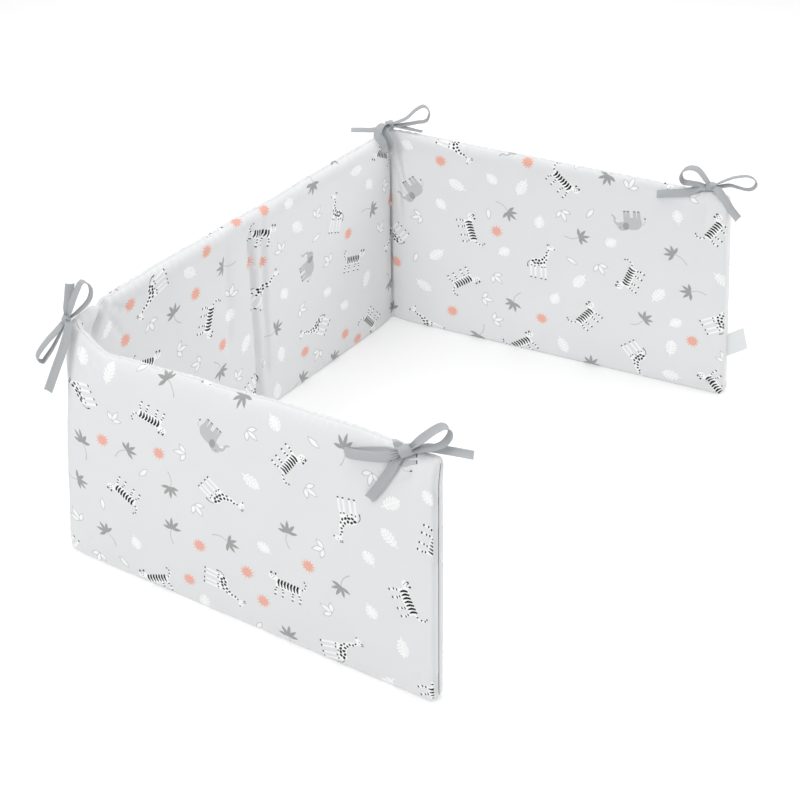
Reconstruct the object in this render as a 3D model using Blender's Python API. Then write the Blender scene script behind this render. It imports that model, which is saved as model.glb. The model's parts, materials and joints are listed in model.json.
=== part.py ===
"""Crib bumper: a padded strip in three sections, standing on its long edge in a zigzag.

Units are metres, +Z is up and +Y points away from the viewer. The pad is one filled solid. Its centre
line runs from the near end, round the left corner and the back corner, to the right end. Four pairs of
ties are knotted in bows on its top edge, and a small folded tag sits in the right end's seam.
"""

import math
from typing import NamedTuple

import bmesh
import bpy
from mathutils import Vector
from mathutils.bvhtree import BVHTree

# Plan of the centre line, at floor level -------------------------------------------------------------
NEAR_END = Vector((0.0244, -0.3972))     # plan position of the near end; centres the whole on the origin
NEAR_LENGTH = 0.549                      # the section seen from outside
MIDDLE_LENGTH = 0.671
FAR_LENGTH = 0.535
NEAR_HEADING = math.radians(150.9)       # direction of each section, counted from +X
MIDDLE_HEADING = math.radians(51.4)
FAR_HEADING = math.radians(-22.1)
LEFT_FOLD_RADIUS = 0.016                 # of the centre line round the left corner
BACK_FOLD_RADIUS = 0.010                 # and round the back corner
# How far the top edge stands off plumb at each corner, as a soft pad does.
NEAR_LEAN = Vector((-0.004, 0.024))
LEFT_LEAN = Vector((0.027, 0.017))
BACK_LEAN = Vector((-0.002, 0.003))
RIGHT_LEAN = Vector((-0.025, 0.009))

# Cross-section ---------------------------------------------------------------------------------------
HALF_THICKNESS = 0.0125                  # at the crown
EDGE_FULLNESS = 0.88                     # thickness beside the edges, as a share of the crown
TOP_ROUND = 0.015                        # height of the rounded shoulder
BOTTOM_ROUND = 0.007
BOTTOM_FLAT = 0.70                       # width of the flat foot, as a share of the thickness
RIDGE_SHIFT = 0.003                      # the top seam lies towards the inner face
RIDGE_DEPTH = 0.030                      # height over which the shoulder leans to the seam
END_ROUND = 0.008                        # rounding of the two upright end edges
END_WIDTH = 0.45                         # width of the flat end, as a share of the thickness
END_CORNER = 0.013                       # rounding of the top corner at each end
LEFT_PINCH = 0.25                        # share of the thickness lost in the left fold
BACK_PINCH = 0.42
PINCH_REACH = 0.020

# Height of the top edge: distance from the near end, height.
TOP_EDGE = (
    (0.000, 0.343),
    (0.100, 0.344),
    (0.200, 0.339),
    (0.330, 0.328),
    (0.440, 0.319),
    (0.487, 0.312),
    (0.507, 0.311),
    (0.530, 0.324),
    (0.547, 0.342),
    (0.600, 0.345),
    (0.700, 0.347),
    (0.820, 0.343),
    (0.950, 0.338),
    (1.210, 0.334),
    (1.745, 0.334),
)
# Soft furrows down the inner face: distance from the near end at the top and at the floor, the depth,
# the half width, and the heights where they fade out.
CREASES = (
    (0.826, 0.834, 0.0025, 0.009, 0.150, 0.335),
    (0.876, 0.897, 0.0045, 0.008, 0.000, 0.338),
    (0.902, 0.914, 0.0030, 0.008, 0.080, 0.332),
    (1.219, 1.247, 0.0035, 0.008, 0.190, 0.325),
)

CLEARANCE = 0.0003                       # kept between separate pieces
STATION_SPACING = 0.045
FACE_ROWS = (0.04, 0.12, 0.24, 0.38, 0.52, 0.66, 0.80, 0.90, 0.96)

# Bows ------------------------------------------------------------------------------------------------
TIE_WIDTH = 0.013
TIE_THICKNESS = 0.0014
GATHERED = 0.55                          # width of a strip inside the knot, as a share of its full width
GATHER_REACH = 0.012
KNOT_SIZE = (0.0075, 0.0055, 0.0060)     # half sizes of a knot
TIE_LIFT = 0.0012                        # a strip that lies on the pad clears it by this
LIFT_ROUNDS = 7
LOOP_RETURN = 0.0025                     # a loop ends this far below its start
LYING_REACH = 0.008                      # closer than this, a strip's flat face turns to the pad's
STRIP_SPACING = 0.0045                   # between the sections of a strip
MILLIMETRE = 0.001


class Strip(NamedTuple):
    """One loop or free end of a bow."""

    closes: bool     # a loop comes back to the knot
    lies: bool       # its flat face follows the pad where it is close to it
    tilt: float      # degrees its flat face is turned at the knot: 0 faces the viewer, 90 faces up
    twist: float     # degrees it turns along its length
    points: tuple    # (right, back, up) in millimetres from the knot


class Bow(NamedTuple):
    """A knot on the top edge, with its loops and free ends."""

    distance: float  # along the pad
    across: float    # off the top edge, towards the inner face
    above: float
    strips: tuple


BOWS = {
    "tie_near_end": Bow(0.040, -0.009, 0.004, (
        Strip(True, False, 40, 0, ((17, -4, 22), (39, -5, 40), (50, 3, 27), (42, 6, 7), (20, 4, 3))),
        Strip(True, True, 35, 20,
              ((-24, -4, 5), (-46, -7, 7), (-64, -12, 4), (-60, -14, -3), (-34, -12, -5))),
        Strip(False, False, 60, 25, ((20, 1, 2), (48, 2, -2), (74, 0, -6))),
        Strip(False, True, 30, -10, ((-15, -12, -12), (-27, -14, -32), (-40, -14, -55))),
    )),
    "tie_left_corner": Bow(0.544, -0.010, 0.005, (
        Strip(True, False, 20, 30, ((15, 0, 33), (27, -3, 58), (37, -3, 58), (37, 1, 41), (21, 3, 19))),
        Strip(True, False, 50, -10,
              ((-19, -6, -15), (-36, -8, -36), (-46, -8, -53), (-38, -2, -59), (-20, 2, -37))),
        Strip(False, False, 5, 5, ((6, 3, 29), (10, 4, 43), (14, 4, 54))),
        Strip(False, False, 15, 10, ((-6, -10, -24), (-17, -11, -54), (-32, -10, -99))),
    )),
    "tie_back_corner": Bow(1.209, 0.000, 0.006, (
        Strip(True, False, 70, 10, ((25, 2, 16), (43, 3, 28), (59, 1, 26), (58, -6, 14), (31, -8, 9))),
        Strip(True, False, 15, 0,
              ((-12, -20, 3), (-16, -32, -8), (-12, -36, -20), (-7, -33, -26), (-5, -22, -6))),
        Strip(False, False, 65, 0, ((-20, 2, -5), (-36, 3, -7), (-55, 3, -7))),
        Strip(False, True, 80, 10, ((15, 0, -3), (30, -2, -5), (49, -8, -6))),
    )),
    "tie_right_end": Bow(1.712, -0.003, 0.008, (
        Strip(True, False, 35, 20, ((-16, -4, 26), (-35, -4, 36), (-44, 2, 22), (-36, 7, 6), (-18, 5, 8))),
        Strip(True, False, 85, -5, ((27, 2, 14), (48, 3, 16), (64, 0, 10), (52, -5, 2), (27, -4, 4))),
        Strip(False, True, 45, -15, ((-30, -14, 4), (-50, -16, 0), (-70, -16, -6))),
        Strip(False, False, 30, 10, ((14, -18, -4), (27, -22, -20), (41, -20, -40))),
    )),
}

# Folded tag in the right end's seam
LABEL_LOW = 0.064                        # height of its lower corner
LABEL_HEIGHT = 0.036
LABEL_REACH = 0.027
LABEL_RISE = math.radians(22)
LABEL_THICKNESS = 0.0012
LABEL_STEPS = 5
LABEL_GAP = 0.0007                       # its edge is slanted, so its nearest corner clears the end

CLOTH_COLOR = (0.74, 0.75, 0.77)
TIE_COLOR = (0.40, 0.43, 0.46)
LABEL_COLOR = (0.86, 0.88, 0.88)


def turn(direction, angle):
    """Turns a plan direction by an angle."""
    c, s = math.cos(angle), math.sin(angle)
    return Vector((c * direction.x - s * direction.y, s * direction.x + c * direction.y))


def heading(angle):
    return Vector((math.cos(angle), math.sin(angle)))


def corner_points(level):
    """Plan points of the near end, the two corners and the right end, level 0 at the floor, 1 at the top."""
    near = NEAR_END.copy()
    left = near + NEAR_LENGTH * heading(NEAR_HEADING)
    back = left + MIDDLE_LENGTH * heading(MIDDLE_HEADING)
    right = back + FAR_LENGTH * heading(FAR_HEADING)
    leans = (NEAR_LEAN, LEFT_LEAN, BACK_LEAN, RIGHT_LEAN)
    return [point + level * lean for point, lean in zip((near, left, back, right), leans)]


def runs(level):
    """The centre line as straight runs and fold arcs: (start, direction, length, signed turn)."""
    near, left, back, right = corner_points(level)
    directions = [(q - p).normalized() for p, q in ((near, left), (left, back), (back, right))]
    found = []
    start = near
    for corner, radius, before, after in (
        (left, LEFT_FOLD_RADIUS, directions[0], directions[1]),
        (back, BACK_FOLD_RADIUS, directions[1], directions[2]),
    ):
        angle = before.angle_signed(after)           # positive is clockwise in mathutils
        tangent = radius * math.tan(abs(angle) / 2)
        found.append((start, before, (corner - before * tangent - start).length, 0.0))
        found.append((corner - before * tangent, before, radius * abs(angle), -angle))
        start = corner + after * tangent
    found.append((start, directions[2], (right - start).length, 0.0))
    return found


FLOOR_RUNS = runs(0.0)
TOTAL_LENGTH = sum(length for _, _, length, _ in FLOOR_RUNS)
LEFT_FOLD = FLOOR_RUNS[0][2] + FLOOR_RUNS[1][2] / 2
BACK_FOLD = sum(run[2] for run in FLOOR_RUNS[:3]) + FLOOR_RUNS[3][2] / 2


def centre(distance, level):
    """Plan point of the centre line and the direction towards the inner face."""
    rest = distance
    for floor_run, (start, direction, length, angle) in zip(FLOOR_RUNS, runs(level)):
        if rest <= floor_run[2] or floor_run is FLOOR_RUNS[-1]:
            break
        rest -= floor_run[2]
    share = rest / floor_run[2]
    if angle == 0.0:
        point = start + direction * (share * length)
    else:
        radius = length / abs(angle)
        inward = Vector((direction.y, -direction.x))
        pivot = start + inward * radius
        point = pivot - turn(inward, angle * share) * radius
        direction = turn(direction, angle * share)
    return point, Vector((direction.y, -direction.x))


def smooth_step(value):
    value = min(1.0, max(0.0, value))
    return value * value * (3 - 2 * value)


def top_height(distance):
    """Height of the top edge, with the end corners rounded off."""
    for (d0, h0), (d1, h1) in zip(TOP_EDGE, TOP_EDGE[1:]):
        if distance <= d1:
            break
    height = h0 + (h1 - h0) * smooth_step((distance - d0) / (d1 - d0))
    to_end = min(distance, TOTAL_LENGTH - distance)
    if to_end < END_CORNER:
        drop = 1 - max(0.0, to_end) / END_CORNER
        height -= END_CORNER * (1 - math.sqrt(1 - drop * drop))
    return height


def pinch(distance, fold, share):
    return share * math.exp(-(((distance - fold) / PINCH_REACH) ** 2))


def half_width(distance, height):
    """Half the pad's thickness at a distance along it and a height."""
    top = top_height(distance)
    level = height / top
    width = HALF_THICKNESS * (EDGE_FULLNESS + (1 - EDGE_FULLNESS) * (1 - abs(2 * level - 1) ** 2.4))
    over = max(0.0, height - (top - TOP_ROUND)) / TOP_ROUND
    width *= math.sqrt(max(0.0, 1 - over * over))
    under = max(0.0, 1 - height / BOTTOM_ROUND)
    width *= 1 - (1 - BOTTOM_FLAT) * under * under
    width *= 1 - pinch(distance, LEFT_FOLD, LEFT_PINCH) - pinch(distance, BACK_FOLD, BACK_PINCH)
    to_end = min(distance, TOTAL_LENGTH - distance)
    if to_end < END_ROUND:
        over = 1 - max(0.0, to_end) / END_ROUND
        width *= END_WIDTH + (1 - END_WIDTH) * math.sqrt(1 - over * over)
    return width


def crease_depth(distance, height):
    """How deep the furrows of the inner face are at a point."""
    depth = 0.0
    for at_top, at_floor, deepest, reach, low, high in CREASES:
        middle = at_floor + (at_top - at_floor) * height / high
        fade = smooth_step((height - low) / 0.05 + 0.5) * smooth_step((high - height) / 0.05)
        depth += deepest * fade * math.exp(-(((distance - middle) / reach) ** 2))
    return depth


def surface(distance, height, side):
    """A point of the pad's surface; side is -1 on the outer face and 1 on the inner face."""
    top = top_height(distance)
    point, inward = centre(distance, height / top)
    ridge = RIDGE_SHIFT * smooth_step((height - (top - RIDGE_DEPTH)) / RIDGE_DEPTH)
    offset = side * half_width(distance, height) + ridge
    if side > 0:
        offset -= crease_depth(distance, height) * min(1.0, (top - height) / TOP_ROUND)
    place = point + inward * offset
    return Vector((place.x, place.y, height))


def stations():
    """Distances along the pad where it gets a ring of points, closer together at folds and ends."""
    marks = {0.0, TOTAL_LENGTH}
    steps = round(TOTAL_LENGTH / STATION_SPACING)
    marks.update(TOTAL_LENGTH * i / steps for i in range(steps + 1))
    for gap in (0.001, 0.003, 0.006, 0.010, 0.015, 0.022):
        marks.update((gap, TOTAL_LENGTH - gap))
    for fold in (LEFT_FOLD, BACK_FOLD):
        for gap in (0.0, 0.004, 0.008, 0.013, 0.020, 0.029):
            marks.update((fold - gap, fold + gap))
    for at_top, at_floor, _, reach, _, _ in CREASES:
        middle = (at_top + at_floor) / 2
        marks.update(middle + reach * share for share in (-2.2, -1.4, -0.7, 0.0, 0.7, 1.4, 2.2))
    marks.update(distance for distance, _ in TOP_EDGE[1:-1])
    kept = []
    for mark in sorted(marks):
        near_end = min(mark, TOTAL_LENGTH - mark) < 0.012
        if not kept or mark - kept[-1] > (0.0005 if near_end else 0.0028):
            kept.append(mark)
    return kept


def ring_heights(top):
    """Heights of the rows of points up one face, without the ridge."""
    shoulder = top - TOP_ROUND
    rows = [0.0, BOTTOM_ROUND * 0.35, BOTTOM_ROUND]
    rows += [BOTTOM_ROUND + (shoulder - BOTTOM_ROUND) * share for share in FACE_ROWS]
    rows += [shoulder + TOP_ROUND * math.sin(math.radians(angle)) for angle in (0, 25, 48, 70)]
    return rows


def build_pad():
    """The filled pad as one closed solid, ring by ring along its centre line."""
    bm = bmesh.new()
    rings = []
    for distance in stations():
        top = top_height(distance)
        rows = ring_heights(top)
        outer = [bm.verts.new(surface(distance, height, -1)) for height in rows]
        ridge = bm.verts.new(surface(distance, top, 1))
        inner = [bm.verts.new(surface(distance, height, 1)) for height in rows]
        rings.append(outer + [ridge] + inner[::-1])
    count = len(rings[0])
    for ring, following in zip(rings, rings[1:]):
        for i in range(count):
            j = (i + 1) % count
            bm.faces.new((ring[i], ring[j], following[j], following[i]))
    for ring in (rings[0], rings[-1]):
        middle = count // 2
        for i in range(middle - 1):
            bm.faces.new((ring[i], ring[i + 1], ring[count - 2 - i], ring[count - 1 - i]))
        bm.faces.new((ring[middle - 1], ring[middle], ring[middle + 1]))
    return build_object("bumper_pad", bm, CLOTH_COLOR, 0.9)


def smooth_path(points, spacing):
    """Points about one spacing apart on a smooth curve through the given ones."""
    padded = [points[0] * 2 - points[1], *points, points[-1] * 2 - points[-2]]
    path = []
    for before, start, end, after in zip(padded, padded[1:], padded[2:], padded[3:]):
        steps = max(2, round((end - start).length / spacing))
        for i in range(steps):
            t = i / steps
            path.append(0.5 * (
                2 * start + (end - before) * t
                + (2 * before - 5 * start + 4 * end - after) * t ** 2
                + (3 * start - before - 3 * end + after) * t ** 3
            ))
    return path + [points[-1]]


def lift_off(point, tree, clearance):
    """Moves a point out of the pad until it clears it."""
    near, normal, _, _ = tree.find_nearest(point)
    depth = (point - near).dot(normal)
    away = point - near if depth > 0 else near - point
    if depth < 0 or away.length < clearance:
        return near + (away.normalized() if away.length > 1e-5 else normal) * clearance
    return point


def sweep(bm, sections):
    """Skins a row of four-cornered sections and closes both ends."""
    rows = [[bm.verts.new(corner) for corner in corners] for corners in sections]
    for row, following in zip(rows, rows[1:]):
        for i in range(4):
            j = (i + 1) % 4
            bm.faces.new((row[i], row[j], following[j], following[i]))
    bm.faces.new(rows[0])
    bm.faces.new(rows[-1])


def section(point, across, out):
    """The four corners of a flat strip's section."""
    return (point - across - out, point + across - out, point + across + out, point - across + out)


def strip_sections(path, widths, normals, thickness):
    """Sections of a flat strip along a path, with a face direction at each point."""
    sections = []
    for i, (point, width, normal) in enumerate(zip(path, widths, normals)):
        tangent = (path[min(i + 1, len(path) - 1)] - path[max(i - 1, 0)]).normalized()
        across = tangent.cross(normal).normalized()
        out = across.cross(tangent).normalized()
        sections.append(section(point, across * (width / 2), out * (thickness / 2)))
    return sections


def face_directions(path, tilt, twist):
    """Carries the flat face's direction along a path without turning it, then adds the twist."""
    normal = Vector((0, -math.cos(tilt), math.sin(tilt)))
    found = []
    for i, point in enumerate(path):
        tangent = (path[min(i + 1, len(path) - 1)] - path[max(i - 1, 0)]).normalized()
        normal = (normal - tangent * normal.dot(tangent)).normalized()
        angle = twist * i / (len(path) - 1)
        found.append(normal * math.cos(angle) + tangent.cross(normal) * math.sin(angle))
    return found


def clear_of_pad(path, widths, normals, tree):
    """Lifts a strip off the pad where its middle or one of its edges would touch."""
    clearance = TIE_LIFT + TIE_THICKNESS / 2
    for number in range(LIFT_ROUNDS):
        shifts = []
        for i, (point, width, normal) in enumerate(zip(path, widths, normals)):
            tangent = (path[min(i + 1, len(path) - 1)] - path[max(i - 1, 0)]).normalized()
            across = tangent.cross(normal).normalized() * (width / 2)
            found = [lift_off(point + offset, tree, clearance) - point - offset
                     for offset in (across * 0, across, -across)]
            shifts.append(max(found, key=lambda shift: shift.length))
        if number < LIFT_ROUNDS - 2:
            padded = [shifts[0], *shifts, shifts[-1]]
            shifts = [(a + b + c) / 2 for a, b, c in zip(padded, shifts, padded[2:])]
        path = [point + shift for point, shift in zip(path, shifts)]
    return path


def lie_on_pad(path, normals, tree):
    """Turns a strip's flat face to the pad's where the two are close."""
    turned = []
    for point, normal in zip(path, normals):
        _, outward, _, gap = tree.find_nearest(point)
        before = turned[-1] if turned else normal
        sign = 1 if before.dot(outward) >= 0 else -1
        share = smooth_step((LYING_REACH - gap) / LYING_REACH)
        turned.append(normal.lerp(outward * sign, share).normalized())
    return turned


def strip_object(name, knot, strip, tree):
    """One loop or free end of a bow, as a hidden piece that is joined to its knot."""
    points = [knot] + [knot + Vector(offset) * MILLIMETRE for offset in strip.points]
    if strip.closes:
        points.append(knot - Vector((0, 0, LOOP_RETURN)))
    path = smooth_path(points, STRIP_SPACING)
    normals = face_directions(path, math.radians(strip.tilt), math.radians(strip.twist))
    widths = []
    for point in path:
        share = smooth_step((point - knot).length / GATHER_REACH)
        widths.append(TIE_WIDTH * (GATHERED + (1 - GATHERED) * share))
    if strip.lies:
        path = clear_of_pad(path, widths, normals, tree)
        normals = lie_on_pad(path, normals, tree)
    path = clear_of_pad(path, widths, normals, tree)
    bm = bmesh.new()
    sweep(bm, strip_sections(path, widths, normals, TIE_THICKNESS))
    piece = build_object(name, bm, TIE_COLOR, 0.8)
    piece.hide_render = True
    piece.display_type = "WIRE"
    return piece


def seat(center, half_sizes, tree):
    """Moves a knot until it lies just clear of the pad."""
    for _ in range(4):
        near, normal, _, _ = tree.find_nearest(center)
        away = (center - near).normalized()
        if away.dot(normal) < 0:
            away = -away
        reach = math.sqrt(sum((away[i] * half_sizes[i]) ** 2 for i in range(3)))
        center = near + away * (reach + CLEARANCE * 2)
    return center


def build_bow(name, bow, tree):
    """A knot with its loops and free ends joined to it."""
    point, inward = centre(bow.distance, 1.0)
    point = point + inward * bow.across
    center = seat(Vector((point.x, point.y, top_height(bow.distance) + bow.above)), KNOT_SIZE, tree)
    bm = bmesh.new()
    bmesh.ops.create_uvsphere(bm, u_segments=12, v_segments=8, radius=1.0)
    for vertex in bm.verts:
        vertex.co = Vector([vertex.co[i] * KNOT_SIZE[i] for i in range(3)]) + center
    knot = build_object(name, bm, TIE_COLOR, 0.8)
    for number, strip in enumerate(bow.strips):
        joint = knot.modifiers.new(f"join_{number}", "BOOLEAN")
        joint.operation = "UNION"
        joint.solver = "MANIFOLD"
        joint.object = strip_object(f"{name}_strip_{number}", center, strip, tree)


def build_label():
    """The folded tag, from the right end's seam outwards and up."""
    low, high = (
        Vector((*centre(TOTAL_LENGTH, height / top_height(TOTAL_LENGTH))[0], height))
        for height in (LABEL_LOW, LABEL_LOW + LABEL_HEIGHT)
    )
    along = heading(FAR_HEADING + math.radians(12))
    outward = Vector((along.x * math.cos(LABEL_RISE), along.y * math.cos(LABEL_RISE), math.sin(LABEL_RISE)))
    seam = (high - low).normalized()
    start = (low + high) / 2 + Vector((along.x, along.y, 0)) * LABEL_GAP
    path = [start + outward * (LABEL_REACH * i / LABEL_STEPS) for i in range(LABEL_STEPS + 1)]
    facing = outward.cross(seam).normalized()
    bm = bmesh.new()
    across = seam * (LABEL_HEIGHT / 2)
    sweep(bm, [section(point, across, facing * (LABEL_THICKNESS / 2)) for point in path])
    return build_object("side_label", bm, LABEL_COLOR, 0.7)


def build_object(name, bm, color, roughness, smooth=True):
    """Turns a bmesh into a named object with its own material."""
    mesh = bpy.data.meshes.new(name)
    bmesh.ops.recalc_face_normals(bm, faces=bm.faces)
    bm.to_mesh(mesh)
    bm.free()
    material = bpy.data.materials.new(name + "_cloth")
    material.use_nodes = True
    shader = material.node_tree.nodes["Principled BSDF"]
    shader.inputs["Base Color"].default_value = (*color, 1.0)
    shader.inputs["Roughness"].default_value = roughness
    mesh.materials.append(material)
    if smooth:
        mesh.shade_smooth()
        mesh.set_sharp_from_angle(angle=math.radians(50))
    thing = bpy.data.objects.new(name, mesh)
    bpy.context.scene.collection.objects.link(thing)
    return thing


def main():
    for thing in list(bpy.data.objects):
        bpy.data.objects.remove(thing)
    pad = build_pad()
    tree = BVHTree.FromObject(pad, bpy.context.evaluated_depsgraph_get())
    for name, bow in BOWS.items():
        build_bow(name, bow, tree)
    build_label()


main()
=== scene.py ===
"""Looks of a padded cot bumper: printed cotton cover, knotted ties, woven tag, floor, light and camera.

Units are metres, +Z is up and +Y points away from the viewer. The cover is one closed cloth surface, laid
out flat as distance along the pad and girth round it. The print is cut into that flat cloth as shapes
with plain inks, and the cloth is then wrapped round the pad.
"""

import json
import logging
import math
import random
from dataclasses import dataclass, field
from enum import Enum

import bmesh
import bpy
import numpy as np
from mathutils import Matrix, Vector
from mathutils.bvhtree import BVHTree
from mathutils.geometry import delaunay_2d_cdt

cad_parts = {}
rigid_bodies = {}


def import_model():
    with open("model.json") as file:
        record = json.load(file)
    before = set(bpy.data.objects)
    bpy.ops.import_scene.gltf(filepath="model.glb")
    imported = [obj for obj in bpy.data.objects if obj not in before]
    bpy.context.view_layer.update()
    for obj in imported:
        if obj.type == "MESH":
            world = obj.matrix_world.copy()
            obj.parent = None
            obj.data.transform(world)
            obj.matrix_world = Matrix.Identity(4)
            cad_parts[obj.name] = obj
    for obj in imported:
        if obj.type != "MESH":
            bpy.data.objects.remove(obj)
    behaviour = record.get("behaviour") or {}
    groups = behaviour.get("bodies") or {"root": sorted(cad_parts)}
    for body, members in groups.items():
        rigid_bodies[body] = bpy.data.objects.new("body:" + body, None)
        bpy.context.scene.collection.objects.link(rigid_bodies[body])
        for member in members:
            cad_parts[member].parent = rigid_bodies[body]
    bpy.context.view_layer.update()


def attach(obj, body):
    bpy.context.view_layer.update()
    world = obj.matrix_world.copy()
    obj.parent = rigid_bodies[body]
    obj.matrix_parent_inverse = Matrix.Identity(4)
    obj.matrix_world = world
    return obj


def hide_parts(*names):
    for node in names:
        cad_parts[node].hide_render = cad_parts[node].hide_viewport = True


LOG = logging.getLogger("bumper")
MILLIMETRE = 0.001


def smooth_step(value: np.ndarray) -> np.ndarray:
    """Goes from 0 to 1 with level ends.

    Args:
        value: where on the step, 0 to 1 and beyond.

    Returns:
        The step's height there.
    """
    value = np.clip(value, 0.0, 1.0)
    return value * value * (3.0 - 2.0 * value)


def unit(vectors: np.ndarray) -> np.ndarray:
    """Brings vectors to length 1.

    Args:
        vectors: any number of vectors, one a row.

    Returns:
        The same directions.
    """
    return vectors / np.maximum(np.linalg.norm(vectors, axis=-1, keepdims=True), 1e-12)


# Finishes --------------------------------------------------------------------------------------------


class Ink(Enum):
    """Colours of the print, in the order of the cover's material slots."""

    GROUND = 0
    WHITE = 1
    PALE = 2
    LEAF = 3
    STEM = 4
    CORAL = 5
    BLACK = 6


INK_COLORS: dict[Ink, tuple[int, int, int]] = {
    Ink.GROUND: (226, 227, 228),
    Ink.WHITE: (246, 247, 247),
    Ink.PALE: (192, 194, 195),
    Ink.LEAF: (158, 161, 160),
    Ink.STEM: (192, 195, 196),
    Ink.CORAL: (236, 176, 160),
    Ink.BLACK: (24, 24, 26),
}


def linear(color: tuple[int, int, int]) -> tuple[float, float, float, float]:
    """Turns screen colour values into the linear ones a shader takes.

    Args:
        color: red, green and blue, 0 to 255.

    Returns:
        Linear red, green, blue, and alpha 1.
    """
    shares = [value / 255 for value in color]
    found = [s / 12.92 if s <= 0.04045 else ((s + 0.055) / 1.055) ** 2.4 for s in shares]
    return (found[0], found[1], found[2], 1.0)


@dataclass(frozen=True)
class WovenFinish:
    """A matt woven cloth: plain colour with threads both ways and a soft irregular surface."""

    color: tuple[int, int, int]
    roughness: float = 0.88
    sheen: float = 0.12
    thread: float = 0.00045
    thread_strength: float = 0.25
    ripple: float = 0.028
    ripple_strength: float = 0.30

    def build(self, name: str) -> bpy.types.Material:
        """Makes the material.

        Args:
            name: the material's name.

        Returns:
            The material.
        """
        material = bpy.data.materials.new(name)
        material.use_nodes = True
        tree = material.node_tree
        shader = tree.nodes["Principled BSDF"]
        shader.inputs["Base Color"].default_value = linear(self.color)
        shader.inputs["Roughness"].default_value = self.roughness
        shader.inputs["Sheen Weight"].default_value = self.sheen
        shader.inputs["Sheen Roughness"].default_value = 0.6
        shader.inputs["Specular IOR Level"].default_value = 0.25
        cloth = tree.nodes.new("ShaderNodeUVMap")
        cloth.uv_map = "cloth"
        bands = []
        for direction in ("X", "Y"):
            wave = tree.nodes.new("ShaderNodeTexWave")
            wave.bands_direction = direction
            wave.inputs["Scale"].default_value = 0.314 / self.thread
            wave.inputs["Distortion"].default_value = 0.6
            wave.inputs["Detail Scale"].default_value = 2.0
            tree.links.new(cloth.outputs["UV"], wave.inputs["Vector"])
            bands.append(wave)
        weave = tree.nodes.new("ShaderNodeMath")
        weave.operation = "MAXIMUM"
        tree.links.new(bands[0].outputs["Fac"], weave.inputs[0])
        tree.links.new(bands[1].outputs["Fac"], weave.inputs[1])
        fine = tree.nodes.new("ShaderNodeBump")
        fine.inputs["Strength"].default_value = self.thread_strength
        fine.inputs["Distance"].default_value = self.thread * 0.3
        tree.links.new(weave.outputs[0], fine.inputs["Height"])
        place = tree.nodes.new("ShaderNodeTexCoord")
        noise = tree.nodes.new("ShaderNodeTexNoise")
        noise.inputs["Scale"].default_value = 1.0 / self.ripple
        noise.inputs["Detail"].default_value = 2.0
        tree.links.new(place.outputs["Object"], noise.inputs["Vector"])
        soft = tree.nodes.new("ShaderNodeBump")
        soft.inputs["Strength"].default_value = self.ripple_strength
        soft.inputs["Distance"].default_value = self.ripple * 0.06
        tree.links.new(noise.outputs["Fac"], soft.inputs["Height"])
        tree.links.new(fine.outputs["Normal"], soft.inputs["Normal"])
        tree.links.new(soft.outputs["Normal"], shader.inputs["Normal"])
        return material


@dataclass(frozen=True)
class PlainFinish:
    """A smooth matt finish, for thread and the floor."""

    color: tuple[int, int, int]
    roughness: float = 0.8
    grain: float = 0.002
    glow: float = 0.0

    def build(self, name: str) -> bpy.types.Material:
        """Makes the material.

        Args:
            name: the material's name.

        Returns:
            The material.
        """
        material = bpy.data.materials.new(name)
        material.use_nodes = True
        tree = material.node_tree
        shader = tree.nodes["Principled BSDF"]
        shader.inputs["Base Color"].default_value = linear(self.color)
        shader.inputs["Roughness"].default_value = self.roughness
        shader.inputs["Specular IOR Level"].default_value = 0.2
        shader.inputs["Emission Color"].default_value = (1.0, 1.0, 1.0, 1.0)
        shader.inputs["Emission Strength"].default_value = self.glow
        place = tree.nodes.new("ShaderNodeTexCoord")
        noise = tree.nodes.new("ShaderNodeTexNoise")
        noise.inputs["Scale"].default_value = 1.0 / self.grain
        bump = tree.nodes.new("ShaderNodeBump")
        bump.inputs["Strength"].default_value = 0.1
        bump.inputs["Distance"].default_value = self.grain * 0.1
        tree.links.new(place.outputs["Object"], noise.inputs["Vector"])
        tree.links.new(noise.outputs["Fac"], bump.inputs["Height"])
        tree.links.new(bump.outputs["Normal"], shader.inputs["Normal"])
        return material


# Shape of the pad ------------------------------------------------------------------------------------


@dataclass(frozen=True)
class Furrow:
    """A soft line pressed into one face: from one point of the flat cloth to another."""

    start: tuple[float, float]
    end: tuple[float, float]
    depth: float
    reach: float
    side: int


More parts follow.
